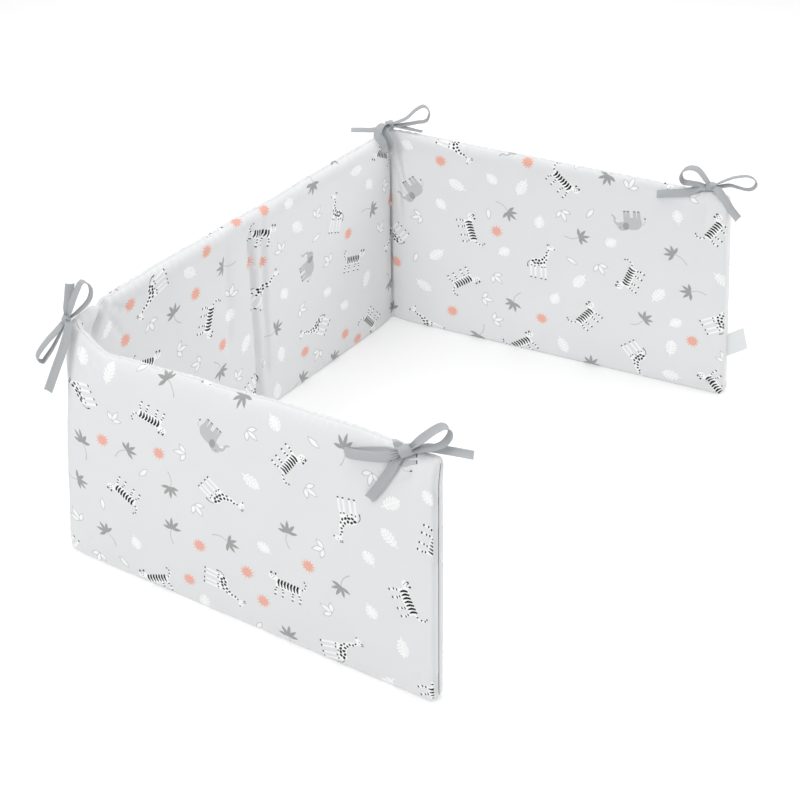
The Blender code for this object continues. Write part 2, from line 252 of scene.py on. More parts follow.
@dataclass
class PadShape:
    """The pad's surface: distance along it and girth round it become a place in space."""

    near_end: tuple[float, float] = (0.0244, -0.3972)
    sections: tuple[tuple[float, float], ...] = ((0.549, 150.9), (0.671, 51.4), (0.535, -22.1))
    leans: tuple[tuple[float, float], ...] = (
        (-0.004, 0.024), (0.027, 0.017), (-0.002, 0.003), (-0.025, 0.009))
    fold_radii: tuple[float, float] = (0.016, 0.010)
    half_thickness: float = 0.0125
    edge_fullness: float = 0.88
    top_round: float = 0.015
    bottom_round: float = 0.007
    bottom_flat: float = 0.70
    ridge_shift: float = 0.003
    ridge_depth: float = 0.030
    end_round: float = 0.006
    end_width: float = 0.50
    end_corner: float = 0.007
    foot_corner: float = 0.010
    pinches: tuple[float, float] = (0.25, 0.42)
    pinch_reach: float = 0.020
    top_edge: tuple[tuple[float, float], ...] = (
        (0.000, 0.343), (0.100, 0.344), (0.200, 0.339), (0.330, 0.328), (0.440, 0.319),
        (0.487, 0.3135), (0.550, 0.343), (0.582, 0.345), (0.593, 0.3395), (0.604, 0.3455),
        (0.700, 0.347), (0.820, 0.343), (0.950, 0.338), (1.210, 0.334), (1.745, 0.334))
    creases: tuple[tuple[float, ...], ...] = (
        (0.826, 0.834, 0.0040, 0.009, 0.150, 0.335),
        (0.876, 0.897, 0.0098, 0.006, 0.000, 0.338),
        (0.902, 0.914, 0.0066, 0.006, 0.060, 0.332))
    wall: float = 0.320                # girth of one face below its shoulder
    shoulder: float = 0.0205           # girth of the shoulder's quarter round
    foot: float = 0.0075               # half the girth of the flat foot
    cap: float = 0.0050                # girth from an end's upright edge to the middle of the end
    seam_depth: float = 0.0012
    seam_reach: float = 0.0012
    end_seam: float = 0.0010           # depth of the seam down the middle of each end
    end_seam_reach: float = 0.0010
    swell: float = 0.0014
    pucker: float = 0.0008             # height of the gathers along the ridge seam
    pucker_pitch: float = 0.0125
    furrows: tuple[Furrow, ...] = (
        Furrow((0.594, 0.346), (0.572, 0.300), 0.0100, 0.0042, 1),
        Furrow((0.600, 0.338), (0.642, 0.314), 0.0022, 0.0045, 1),
        Furrow((0.598, 0.330), (0.628, 0.276), 0.0022, 0.0050, 1),
        Furrow((0.583, 0.320), (0.566, 0.262), 0.0030, 0.0060, 1),
        Furrow((0.520, 0.326), (0.500, 0.290), 0.0022, 0.0040, -1),
        Furrow((0.512, 0.322), (0.486, 0.300), 0.0018, 0.0035, -1),
        Furrow((0.470, 0.305), (0.430, 0.296), 0.0015, 0.0050, -1),
        Furrow((1.2055, 0.336), (1.2110, -0.010), 0.0022, 0.0120, 1),
        Furrow((1.2055, 0.336), (1.2110, -0.010), 0.0090, 0.0026, 1),
        Furrow((1.2200, 0.314), (1.2390, 0.240), 0.0032, 0.0036, 1),
        Furrow((1.2240, 0.270), (1.2330, 0.190), 0.0022, 0.0040, 1),
        Furrow((1.6960, 0.004), (1.7400, 0.034), 0.0034, 0.0036, 1),
        Furrow((1.7120, 0.002), (1.7420, 0.018), 0.0026, 0.0030, 1),
        Furrow((1.7220, 0.050), (1.7420, 0.080), 0.0018, 0.0040, 1),
        Furrow((0.0200, 0.322), (0.0480, 0.300), 0.0018, 0.0045, -1),
        Furrow((0.0300, 0.334), (0.0300, 0.296), 0.0016, 0.0040, -1),
        Furrow((1.6900, 0.322), (1.6600, 0.290), 0.0016, 0.0050, 1),
        Furrow((1.7100, 0.322), (1.7080, 0.280), 0.0018, 0.0045, 1),
        Furrow((0.0030, 0.012), (0.0300, 0.050), 0.0016, 0.0045, -1),
        Furrow((0.5200, 0.010), (0.4900, 0.050), 0.0018, 0.0050, -1))
    corners: list[np.ndarray] = field(default_factory=list)
    floor_lengths: list[float] = field(default_factory=list)
    length: float = 0.0
    folds: list[float] = field(default_factory=list)

    def __post_init__(self) -> None:
        """Works out the corners, the length and the places of the two folds."""
        corner = np.array(self.near_end)
        self.corners = [corner]
        for length, heading in self.sections:
            angle = math.radians(heading)
            corner = corner + length * np.array((math.cos(angle), math.sin(angle)))
            self.corners.append(corner)
        _, _, lengths, _ = self.runs(np.zeros(1))
        self.floor_lengths = [float(run[0]) for run in lengths]
        self.length = sum(self.floor_lengths)
        self.folds = [sum(self.floor_lengths[:1]) + self.floor_lengths[1] / 2,
                      sum(self.floor_lengths[:3]) + self.floor_lengths[3] / 2]

    @property
    def face(self) -> float:
        """Girth of one face from the floor to the ridge."""
        return self.wall + self.shoulder

    def runs(self, level: np.ndarray) -> tuple[list[np.ndarray], ...]:
        """Straight runs and fold arcs of the centre line.

        Args:
            level: 0 at the floor to 1 at the top, one for each point asked for.

        Returns:
            Starts, directions, lengths and signed turns of the five runs.
        """
        level = np.asarray(level)[:, None]
        at = [corner + level * np.array(lean) for corner, lean in zip(self.corners, self.leans)]
        along = [unit(q - p) for p, q in zip(at, at[1:])]
        starts, directions, lengths, turns = [], [], [], []
        start = at[0]
        for corner, radius, before, after in zip(at[1:3], self.fold_radii, along, along[1:]):
            cross = before[:, 0] * after[:, 1] - before[:, 1] * after[:, 0]
            angle = np.arctan2(cross, np.sum(before * after, axis=1))
            tangent = (radius * np.tan(np.abs(angle) / 2))[:, None]
            first = corner - before * tangent
            starts += [start, first]
            directions += [before, before]
            lengths += [np.linalg.norm(first - start, axis=1), radius * np.abs(angle)]
            turns += [np.zeros(len(level)), angle]
            start = corner + after * tangent
        starts.append(start)
        directions.append(along[2])
        lengths.append(np.linalg.norm(at[3] - start, axis=1))
        turns.append(np.zeros(len(level)))
        return starts, directions, lengths, turns

    def centre(self, distance: np.ndarray, level: np.ndarray) -> tuple[np.ndarray, np.ndarray]:
        """Plan points of the centre line.

        Args:
            distance: along the pad from the near end.
            level: 0 at the floor to 1 at the top.

        Returns:
            The points and the directions towards the inner face.
        """
        starts, directions, lengths, turns = self.runs(level)
        point = np.zeros((len(distance), 2))
        inward = np.zeros((len(distance), 2))
        done = 0.0
        for i, (start, way, length, angle) in enumerate(zip(starts, directions, lengths, turns)):
            here = distance >= done - 1e-9 if i else np.full(len(distance), True)
            share = (distance - done) / self.floor_lengths[i]
            right = np.stack((way[:, 1], -way[:, 0]), axis=1)
            if i % 2:
                c, s = np.cos(angle * share)[:, None], np.sin(angle * share)[:, None]
                turned = right * c + way * s
                radius = (length / np.abs(angle))[:, None]
                place = start + right * radius - turned * radius
                right = turned
            else:
                place = start + way * (share * length)[:, None]
            point[here] = place[here]
            inward[here] = right[here]
            done += self.floor_lengths[i]
        return point, inward

    def top_height(self, distance: np.ndarray) -> np.ndarray:
        """Height of the top edge, with the end corners rounded off.

        Args:
            distance: along the pad.

        Returns:
            The heights.
        """
        height = np.zeros(len(distance))
        for (d0, h0), (d1, h1) in zip(self.top_edge, self.top_edge[1:]):
            here = distance >= d0 if d0 else np.full(len(distance), True)
            value = h0 + (h1 - h0) * smooth_step((distance - d0) / (d1 - d0))
            height[here] = value[here]
        to_end = np.clip(np.minimum(distance, self.length - distance), 0.0, self.end_corner)
        drop = 1 - to_end / self.end_corner
        return height - self.end_corner * (1 - np.sqrt(1 - drop * drop))

    def half_width(self, distance: np.ndarray, height: np.ndarray, top: np.ndarray) -> np.ndarray:
        """Half the thickness without the shoulder's rounding.

        Args:
            distance: along the pad.
            height: above the floor.
            top: height of the top edge there.

        Returns:
            The half widths.
        """
        level = np.clip(height / top, 0.0, 1.0)
        crown = 1 - np.abs(2 * level - 1) ** 2.4
        width = self.half_thickness * (self.edge_fullness + (1 - self.edge_fullness) * crown)
        under = np.maximum(0.0, 1 - height / self.bottom_round)
        width = width * (1 - (1 - self.bottom_flat) * under * under)
        for fold, share in zip(self.folds, self.pinches):
            width = width * (1 - share * np.exp(-(((distance - fold) / self.pinch_reach) ** 2)))
        to_end = np.clip(np.minimum(distance, self.length - distance), 0.0, self.end_round)
        over = 1 - to_end / self.end_round
        return width * (self.end_width + (1 - self.end_width) * np.sqrt(1 - over * over))

    def pressed(self, distance: np.ndarray, height: np.ndarray, side: np.ndarray) -> np.ndarray:
        """How far the cloth is pressed in by creases, furrows and the pad's uneven filling.

        Args:
            distance: along the pad.
            height: above the floor.
            side: -1 on the outer face and 1 on the inner face.

        Returns:
            Depths in metres, negative where the cloth stands out.
        """
        depth = np.zeros(len(distance))
        for at_top, at_floor, deepest, reach, low, high in self.creases:
            middle = at_floor + (at_top - at_floor) * height / high
            fade = smooth_step((height - low) / 0.05 + 0.5) * smooth_step((high - height) / 0.05)
            depth += (side > 0) * deepest * fade * np.exp(-(((distance - middle) / reach) ** 2))
        for furrow in self.furrows:
            start, end = np.array(furrow.start), np.array(furrow.end)
            way = end - start
            place = np.stack((distance, height), axis=1) - start
            share = np.clip(place @ way / (way @ way), 0.0, 1.0)
            gap = np.linalg.norm(place - share[:, None] * way, axis=1)
            fade = np.sin(np.pi * np.clip(share * 0.9 + 0.05, 0, 1))
            depth += (side == furrow.side) * furrow.depth * fade * np.exp(-((gap / furrow.reach) ** 2))
        phase = side * 1.7
        waves = (np.sin(distance * 31 + height * 17 + phase) + np.sin(distance * 19 - height * 43 - phase)
                 + np.sin(distance * 67 + height * 29 + 2 * phase) * 0.7
                 + np.sin(distance * 113 - height * 71 + 3 * phase) * 0.35
                 + np.sin(distance * 83 + height * 137 - phase) * 0.3)
        return depth + self.swell * waves / 2.6

    def gathers(self, distance: np.ndarray, girth: np.ndarray) -> np.ndarray:
        """Small uneven waves that the ridge seam draws into the cloth beside it.

        Args:
            distance: along the pad.
            girth: 0 at the ridge.

        Returns:
            How far the cloth stands out.
        """
        turns = distance * math.tau / self.pucker_pitch + 2.3 * np.sin(distance * 37) + 1.1 * np.sign(girth)
        uneven = 0.55 + 0.30 * np.sin(distance * 53 + np.sign(girth)) + 0.15 * np.sin(distance * 97)
        from_seam = np.abs(girth)
        fade = smooth_step(from_seam / 0.003) * np.exp(-((from_seam / 0.013) ** 2))
        ends = smooth_step(np.minimum(distance, self.length - distance) / 0.03)
        return self.pucker * uneven * fade * ends * np.sin(turns)

    def place(self, along: np.ndarray, girth: np.ndarray) -> np.ndarray:
        """Wraps points of the flat cloth round the pad.

        Args:
            along: distance along the pad; below 0 and past the length lies on the ends.
            girth: 0 at the ridge, negative down the outer face and positive down the inner face.

        Returns:
            The places in space.
        """
        distance = np.clip(along, 0.0, self.length)
        past = np.clip(np.maximum(-along, along - self.length) / self.cap, 0.0, 1.0)
        side = np.where(girth < 0, -1.0, 1.0)
        up = self.face - np.abs(girth)
        under = np.clip(-up / self.foot, 0.0, 1.0)
        top = self.top_height(distance)
        edge = top - self.top_round
        angle = np.clip((up - self.wall) / self.shoulder, 0.0, 1.0) * math.pi / 2
        height = np.where(up > self.wall, edge + self.top_round * np.sin(angle),
                          edge * np.clip(up, 0.0, None) / self.wall)
        width = self.half_width(distance, height, top) * np.cos(angle) * (1 - past) * (1 - under)
        soft = (1 - past) * (1 - under) * smooth_step(up / 0.02) * np.cos(angle)
        soft = soft * smooth_step(np.minimum(distance, self.length - distance) / 0.02)
        ridge = self.ridge_shift * smooth_step((height - (top - self.ridge_depth)) / self.ridge_depth)
        seam = self.seam_depth * np.exp(-((girth / self.seam_reach) ** 2))
        gather = self.gathers(distance, girth) * (1 - past)
        width = width + gather * np.cos(angle)
        height = height + gather * np.sin(angle)
        offset = side * (width - self.pressed(distance, height, side) * soft) + ridge
        point, inward = self.centre(distance, height / top)
        groove = self.end_seam * np.exp(-(((1 - past) * self.cap / self.end_seam_reach) ** 2))
        groove = groove * (past > 0) * np.cos(angle) * (1 - under)
        outwards = np.where(along < 0, -1.0, 1.0)[:, None] * np.stack((-inward[:, 1], inward[:, 0]), axis=1)
        flat = point + inward * offset[:, None] - outwards * groove[:, None]
        to_end = np.clip(np.minimum(distance, self.length - distance), 0.0, self.foot_corner)
        drop = 1 - to_end / self.foot_corner
        lift = self.foot_corner * (1 - np.sqrt(1 - drop * drop))
        height = height + lift * np.clip(1 - height / (3 * self.foot_corner), 0.0, 1.0) ** 2
        return np.column_stack((flat, height - seam * (1 - past)))

    def normals(self, along: np.ndarray, girth: np.ndarray) -> np.ndarray:
        """Directions the cloth faces.

        Args:
            along: distance along the pad.
            girth: round it.

        Returns:
            Outward unit vectors.
        """
        step = 0.0004
        across = self.place(along + step, girth) - self.place(along - step, girth)
        down = self.place(along, girth + step) - self.place(along, girth - step)
        return unit(np.cross(down, across))

    def stations(self) -> list[float]:
        """Distances of the flat cloth's grid lines, closer at folds, creases and ends."""
        marks = list(np.linspace(0.0, self.length, round(self.length / 0.0120)))
        for fold in self.folds:
            marks += list(fold + np.linspace(-0.030, 0.030, 29))
        for at_top, at_floor, _, _, _, _ in self.creases:
            low, high = min(at_top, at_floor) - 0.014, max(at_top, at_floor) + 0.014
            marks += list(np.linspace(low, high, round((high - low) / 0.0026)))
        ends = (0.0003, 0.0006, 0.0009, 0.0012, 0.0015, 0.0018, 0.0021, 0.0025, 0.0030, 0.0037,
                0.0045, 0.0056, 0.0070, 0.0088, 0.0110, 0.0135, 0.0165)
        for gap in ends:
            marks += [gap, self.length - gap]
        marks += list(np.linspace(0.47, 0.65, 62)) + list(np.linspace(1.68, 1.73, 18))
        turned = (1.0, 0.93, 0.84, 0.74, 0.60, 0.40, 0.20)
        kept = [-self.cap * share for share in turned] + [0.0]
        for mark in sorted(marks):
            near_end = min(mark, self.length - mark) < 0.02
            if 0 < mark < self.length and mark - kept[-1] > (0.00025 if near_end else 0.0013):
                kept.append(mark)
        return kept + [self.length] + [self.length + self.cap * share for share in turned[::-1]]

    def between(self) -> list[float]:
        """Distances of extra points beside the ridge, where the seam gathers the cloth."""
        marks = self.stations()
        found = []
        for start, end in zip(marks, marks[1:]):
            parts = int((end - start) / 0.0026)
            found += [start + (end - start) * i / parts for i in range(1, parts)]
        return found

    def rows(self) -> list[float]:
        """Girths of the flat cloth's grid lines, closer at the ridge and the floor."""
        half = [0.0, 0.0004, 0.0008, 0.0013, 0.0019, 0.0027]
        half += list(np.linspace(0.0040, self.shoulder, 12))
        half += list(np.linspace(self.shoulder + 0.004, self.face - 0.012, 30))
        half += [self.face - gap for gap in (0.0075, 0.0050, 0.0035, 0.0022, 0.0010, 0.0)]
        half += [self.face + self.foot * share for share in (0.5, 1.0)]
        return [-value for value in half[:0:-1]] + half


# The print -------------------------------------------------------------------------------------------

Outline = list[tuple[float, float]]
Discs = tuple[tuple[float, float, float], ...]
Drawing = list[tuple[Ink, Outline]]


class Pen:
    """Draws the outlines that the print is made of, in millimetres."""

    @staticmethod
    def ellipse(x: float, y: float, rx: float, ry: float, turn: float = 0.0, count: int = 16) -> Outline:
        """An ellipse.

        Args:
            x: centre.
            y: centre.
            rx: half size one way.
            ry: half size the other way.
            turn: degrees it is turned.
            count: number of corners.

        Returns:
            The outline.
        """
        c, s = math.cos(math.radians(turn)), math.sin(math.radians(turn))
        points = []
        for i in range(count):
            angle = math.tau * i / count
            a, b = rx * math.cos(angle), ry * math.sin(angle)
            points.append((x + a * c - b * s, y + a * s + b * c))
        return points

    @staticmethod
    def limb(points: Outline, widths: tuple[float, ...], steps: int = 3) -> Outline:
        """A stroke that follows points and changes its width.

        Args:
            points: what it follows.
            widths: its width at each point.
            steps: corners between two points.

        Returns:
            The outline.
        """
        fine, wide = [], []
        padded = [points[0], *points, points[-1]]
        for i in range(len(points) - 1):
            p0, p1, p2, p3 = (np.array(padded[i + k], float) for k in range(4))
            for step in range(steps):
                t = step / steps
                fine.append(0.5 * (2 * p1 + (p2 - p0) * t + (2 * p0 - 5 * p1 + 4 * p2 - p3) * t ** 2
                                   + (3 * p1 - p0 - 3 * p2 + p3) * t ** 3))
                wide.append(widths[i] + (widths[i + 1] - widths[i]) * t)
        fine.append(np.array(points[-1], float))
        wide.append(widths[-1])
        left, right = [], []
        for i, (point, width) in enumerate(zip(fine, wide)):
            way = fine[min(i + 1, len(fine) - 1)] - fine[max(i - 1, 0)]
            way = way / max(np.linalg.norm(way), 1e-9)
            across = np.array((-way[1], way[0])) * width / 2
            left.append(tuple(point + across))
            right.append(tuple(point - across))
        return right + left[::-1]

    @staticmethod
    def blob(points: Outline, steps: int = 3) -> Outline:
        """A closed smooth outline through points.

        Args:
            points: what it passes through.
            steps: corners between two points.

        Returns:
            The outline.
        """
        found = []
        count = len(points)
        for i in range(count):
            p0, p1, p2, p3 = (np.array(points[(i + k - 1) % count], float) for k in range(4))
            for step in range(steps):
                t = step / steps
                found.append(tuple(0.5 * (2 * p1 + (p2 - p0) * t + (2 * p0 - 5 * p1 + 4 * p2 - p3) * t ** 2
                                          + (3 * p1 - p0 - 3 * p2 + p3) * t ** 3)))
        return found

    @staticmethod
    def petal(x: float, y: float, length: float, width: float, turn: float, shrink: float = 0.0) -> Outline:
        """A pointed leaf that starts at a point.

        Args:
            x: where it starts.
            y: where it starts.
            length: to its tip.
            width: at its widest.
            turn: degrees, 0 points along x.
            shrink: drawn this much smaller all round.

        Returns:
            The outline.
        """
        c, s = math.cos(math.radians(turn)), math.sin(math.radians(turn))
        half = ((0.0, 0.0), (0.18, 0.30), (0.42, 0.50), (0.68, 0.42), (0.88, 0.18), (1.0, 0.0))
        low, high = shrink * 1.4, length - shrink * 1.8
        upper = [(low + (high - low) * a, (width / 2 - shrink) * 2 * b) for a, b in half]
        points = upper + [(a, -b) for a, b in upper[-2:0:-1]]
        return [(x + a * c - b * s, y + a * s + b * c) for a, b in points]


class Motifs:
    """The drawings of the print: plain leaves, sprigs and suns, and three animals."""

    @staticmethod
    def sun() -> Drawing:
        """A small spiky disc."""
        spikes, radii = 12, (11.0, 5.9)
        points = [(radii[i % 2] * math.cos(math.pi * i / spikes), radii[i % 2] * math.sin(math.pi * i / spikes))
                  for i in range(2 * spikes)]
        return [(Ink.CORAL, points)]

    @staticmethod
    def sprig() -> Drawing:
        """A fan of pointed leaves on a curved stem."""
        drawing = [(Ink.STEM, Pen.limb([(0, 0), (2.0, -9), (1.0, -17), (-3.5, -25)], (1.2, 1.2, 1.3, 1.6)))]
        for turn, length in ((2, 14), (44, 15.5), (84, 17.5), (124, 16.5), (170, 14.5)):
            drawing.append((Ink.LEAF, Pen.petal(0, -1.5, length, 4.9, turn)))
        drawing.append((Ink.LEAF, Pen.ellipse(0, -0.6, 2.4, 1.9)))
        return drawing

    @staticmethod
    def lobed_leaf() -> Drawing:
        """A white leaf with a row of lobes down each side."""
        drawing = [(Ink.WHITE, Pen.limb([(0, -15), (0, 0), (0, 12)], (1.3, 3.6, 2.6)))]
        for height, reach in ((-8.6, 3.6), (-3.9, 4.8), (0.8, 4.9), (5.4, 4.2), (9.6, 3.0)):
            for side in (-1, 1):
                lobe = Pen.ellipse(side * reach, height + reach * 0.45, reach * 0.95, 1.75, side * 34, 9)
                drawing.append((Ink.WHITE, lobe))
        drawing.append((Ink.WHITE, Pen.ellipse(0, 13.2, 2.0, 3.0, 0, 10)))
        return drawing

    @staticmethod
    def broad_leaf() -> Drawing:
        """A rounder white leaf with notches."""
        drawing = [(Ink.WHITE, Pen.ellipse(0, 0, 8.2, 9.4, 0, 22)),
                   (Ink.WHITE, Pen.limb([(0, -8), (0, -13.5)], (1.6, 1.2), 2))]
        for turn in (-40, -8, 24, 55):
            for side in (-1, 1):
                x = side * 9.4 * math.cos(math.radians(turn))
                y = 10.4 * math.sin(math.radians(turn))
                inwards = math.atan2(y * -0.75 - 1.0, -x)
                tip = (x + 5.6 * math.cos(inwards), y + 5.6 * math.sin(inwards))
                drawing.append((Ink.GROUND, Pen.limb([(x, y), tip], (2.0, 0.5), 1)))
        return drawing

    @staticmethod
    def bud() -> Drawing:
        """Three leaves drawn in outline."""
        drawing = []
        for turn, length in ((36, 16), (144, 16), (90, 20)):
            drawing.append((Ink.STEM, Pen.petal(0, -8, length, 8.0, turn)))
            drawing.append((Ink.WHITE, Pen.petal(0, -8, length, 8.0, turn, 1.05)))
        return drawing

    @staticmethod
    def single_leaf() -> Drawing:
        """One slim leaf drawn in outline."""
        return [(Ink.STEM, Pen.petal(0, -10, 21, 8.4, 84)), (Ink.WHITE, Pen.petal(0, -10, 21, 8.4, 84, 1.05))]

    @staticmethod
    def giraffe() -> Drawing:
        """A white giraffe with dark patches."""
        body = Pen.blob([(-13, 2), (-8, 8), (2, 9), (9, 16), (13, 27), (17, 28), (16, 17), (13, 5), (8, -3),
                         (-2, -5), (-11, -4)])
        drawing = [(Ink.WHITE, body)]
        for x, lean in ((-11, -1), (-6, 1), (5, -1), (10, 1)):
            drawing.append((Ink.WHITE, Pen.limb([(x, 0), (x + lean, -13), (x + lean, -25)], (4.4, 2.8, 2.6), 2)))
            drawing.append((Ink.BLACK, Pen.ellipse(x + lean, -26, 1.7, 1.2, 0, 6)))
        drawing.append((Ink.WHITE, Pen.ellipse(19.5, 30, 6.2, 3.6, -18, 14)))
        drawing.append((Ink.BLACK, Pen.ellipse(24.6, 28.4, 1.1, 1.3, 0, 8)))
        drawing.append((Ink.BLACK, Pen.ellipse(19.0, 31.3, 0.7, 0.7, 0, 6)))
        for x in (13.8, 16.4):
            drawing.append((Ink.BLACK, Pen.limb([(x, 32.4), (x - 0.4, 36)], (0.9, 1.5))))
        drawing.append((Ink.BLACK, Pen.limb([(-13, 3), (-17, -2), (-17, -9)], (0.8, 0.8, 1.9))))
        patches = ((-9, 3, 2.4), (-4, 5.4, 2.2), (1, 5, 2.3), (6, 8, 2.1), (-6, -0.6, 2.2), (-1, 0, 2.3),
                   (4, 1, 2.3), (9, 3, 2.0), (9, 12, 1.9), (12.2, 16, 1.8), (12.6, 21, 1.7), (15, 25, 1.5),
                   (-11, -5, 1.3), (-6, -6, 1.4), (5, -6, 1.4), (10, -5, 1.3), (12, 8, 1.7), (0.5, -3.4, 1.3))
        for i, (x, y, size) in enumerate(patches):
            drawing.append((Ink.BLACK, Pen.ellipse(x, y, size * 1.12, size * 0.86, 37 * i, 6)))
        return drawing

    @staticmethod
    def elephant() -> Drawing:
        """A pale grey elephant."""
        body = Pen.blob([(-19, 2), (-14, 11), (-3, 14), (8, 12), (13, 4), (11, -5), (2, -8), (-10, -8), (-18, -6)])
        drawing = [(Ink.PALE, body)]
        for x in (-15, -8, 3, 9):
            drawing.append((Ink.PALE, Pen.limb([(x, -4), (x, -19)], (6.2, 5.0))))
            drawing.append((Ink.BLACK, Pen.limb([(x - 2, -19.2), (x + 2, -19.2)], (1.5, 1.5), 1)))
        drawing.append((Ink.PALE, Pen.ellipse(16, 9, 8.6, 8.0, 0, 18)))
        drawing.append((Ink.PALE, Pen.limb([(20, 8), (27, 2), (28, -7), (33, -11)], (7.5, 5.2, 3.8, 2.6))))
        drawing.append((Ink.LEAF, Pen.blob([(10, 15), (5, 12), (4, 4), (9, 1), (14, 5), (14, 12)])))
        drawing.append((Ink.WHITE, Pen.petal(21, 2.5, 8, 2.6, -38)))
        drawing.append((Ink.BLACK, Pen.ellipse(19.4, 11.5, 0.8, 0.8, 0, 6)))
        drawing.append((Ink.PALE, Pen.limb([(-18, 5), (-24, 1), (-25, -6)], (1.1, 0.9, 0.9))))
        drawing.append((Ink.BLACK, Pen.ellipse(-25.2, -7.4, 1.1, 1.9, 0, 8)))
        return [(ink, [(x * 0.88, y * 0.88) for x, y in outline]) for ink, outline in drawing]

    @staticmethod
    def tiger() -> Drawing:
        """A walking tiger, white with black stripes."""
        body = Pen.blob([(-18, 5), (-10, 8), (4, 7), (14, 9), (18, 4), (14, -3), (3, -5), (-9, -4), (-18, -3)], 2)
        drawing = [(Ink.WHITE, body)]
        for x, lean in ((-15, -3), (-9, 1), (8, -1), (14, 3)):
            drawing.append((Ink.WHITE, Pen.limb([(x, 1), (x + lean, -8), (x + lean * 1.2, -16)], (5.6, 3.6, 3.2), 2)))
            drawing.append((Ink.BLACK, Pen.ellipse(x + lean * 1.2 + 0.6, -16.6, 1.9, 1.2, 0, 6)))
        drawing.append((Ink.WHITE, Pen.ellipse(21, 9, 6.4, 5.4, 0, 16)))
        for x in (17.4, 23.4):
            drawing.append((Ink.BLACK, Pen.ellipse(x, 14, 1.7, 1.5, 0, 7)))
        drawing.append((Ink.WHITE, Pen.limb([(-17, 3), (-25, 6), (-28, 13), (-25, 18)], (3.0, 2.6, 2.4, 1.6))))
        for x in (-15.5, -10.8, -6.1, -1.4, 3.3, 8.0, 12.6):
            drawing.append((Ink.BLACK, Pen.limb([(x - 0.8, 7.6), (x + 1.0, 2.4), (x, -3.4)], (2.6, 3.2, 1.4), 2)))
        for x, y in ((-22, 4.8), (-26, 9), (-27.4, 14), (-25.4, 17.6)):
            drawing.append((Ink.BLACK, Pen.ellipse(x, y, 1.7, 1.1, 60 if y > 8 else 100, 6)))
        for x, turn in ((17.5, 20), (21, 0), (24.5, -20)):
            drawing.append((Ink.BLACK, Pen.ellipse(x, 12.2, 0.7, 1.5, turn, 6)))
        for x, y in ((19.2, 9.2), (23.2, 9.2), (21.4, 6.4)):
            drawing.append((Ink.BLACK, Pen.ellipse(x, y, 0.75, 0.75, 0, 6)))
        for x, lean in ((-15, -3), (-9, 1), (8, -1), (14, 3)):
            for y in (-6.5, -10.5):
                drawing.append((Ink.BLACK, Pen.ellipse(x + lean * -y / 8, y, 1.9, 1.1, 8, 6)))
        return drawing


@dataclass
class TossedPrint:
    """Motifs strewn over the flat cloth at every angle, with none on another."""

    along: float
    girth: float
    seed: int = 23
    margin: float = 0.0024
    least_room: float = 0.8
    tries: int = 70

    def kinds(self) -> list[tuple[Drawing, Discs, int]]:
        """The drawings, the discs of room each takes in millimetres, and how many of each there are."""
        long_neck = ((-1.0, -14.0, 17.0), (-3.0, 3.0, 15.0), (13.0, 18.0, 11.0), (18.0, 31.0, 9.0))
        striped = ((-13.0, -4.0, 16.0), (3.0, -4.0, 16.0), (20.0, 7.0, 11.0), (-25.0, 11.0, 8.0))
        heavy = ((-9.0, -3.0, 19.0), (9.0, -2.0, 18.0), (26.0, -2.0, 11.0))
        fan = ((0.0, 4.0, 14.5), (1.0, -13.0, 7.0), (-3.0, -22.0, 5.0))
        return [
            (Motifs.giraffe(), long_neck, 36), (Motifs.tiger(), striped, 44), (Motifs.elephant(), heavy, 15),
            (Motifs.sprig(), fan, 74), (Motifs.lobed_leaf(), ((0.0, -7.0, 9.0), (0.0, 7.0, 9.5)), 50),
            (Motifs.broad_leaf(), ((0.0, 0.0, 13.0),), 44), (Motifs.bud(), ((0.0, -1.0, 11.5),), 66),
            (Motifs.sun(), ((0.0, 0.0, 10.0),), 66), (Motifs.single_leaf(), ((0.0, 0.0, 9.0),), 36)]

    def strewn(self) -> Drawing:
        """Places the motifs, larger ones first, each where it has the most room.

        Returns:
            Inks and outlines in millimetres on the flat cloth.
        """
        chance = random.Random(self.seed)
        taken = np.empty((0, 3))
        found: Drawing = []
        for drawing, discs, count in self.kinds():
            room = np.array(discs)
            for _ in range(count):
                best, kept, where = self.least_room, None, None
                for _ in range(self.tries):
                    x = chance.uniform(0, self.along) * 1000
                    y = chance.uniform(-self.girth, self.girth) * 1000
                    turn = math.radians(chance.uniform(0, 360))
                    flip = chance.choice((-1, 1))
                    c, s = math.cos(turn), math.sin(turn)
                    spots = np.column_stack((x + flip * room[:, 0] * c - room[:, 1] * s,
                                             y + flip * room[:, 0] * s + room[:, 1] * c, room[:, 2]))
                    gaps = np.hypot(spots[:, None, 0] - taken[:, 0], spots[:, None, 1] - taken[:, 1])
                    gap = float(np.min(gaps - spots[:, None, 2] - taken[:, 2], initial=100.0))
                    if gap > best:
                        best, kept, where = gap, spots, (x, y, flip, c, s)
                if where is None:
                    continue
                taken = np.vstack((taken, kept))
                x, y, flip, c, s = where
                for ink, outline in drawing:
                    points = [(x + flip * px * c - py * s, y + flip * px * s + py * c) for px, py in outline]
                    found.append((ink, self.clipped(points)))
        return [(ink, outline) for ink, outline in found if len(outline) > 2]

    def clipped(self, outline: Outline) -> Outline:
        """Cuts an outline off at the cloth's edges.

        Args:
            outline: what is cut.

        Returns:
            What is left of it.
        """
        low = (self.margin * 1000, -self.girth * 1000)
        high = ((self.along - self.margin) * 1000, self.girth * 1000)
        for axis in (0, 1):
            for sign, limit in ((1, high[axis]), (-1, -low[axis])):
                kept: Outline = []
                for p, q in zip(outline, outline[1:] + outline[:1]):
                    inside_p, inside_q = sign * p[axis] <= limit, sign * q[axis] <= limit
                    if inside_p:
                        kept.append(p)
                    if inside_p != inside_q:
                        t = (sign * limit - p[axis]) / (q[axis] - p[axis])
                        kept.append((p[0] + (q[0] - p[0]) * t, p[1] + (q[1] - p[1]) * t))
                outline = kept
                if len(outline) < 3:
                    return []
        return outline


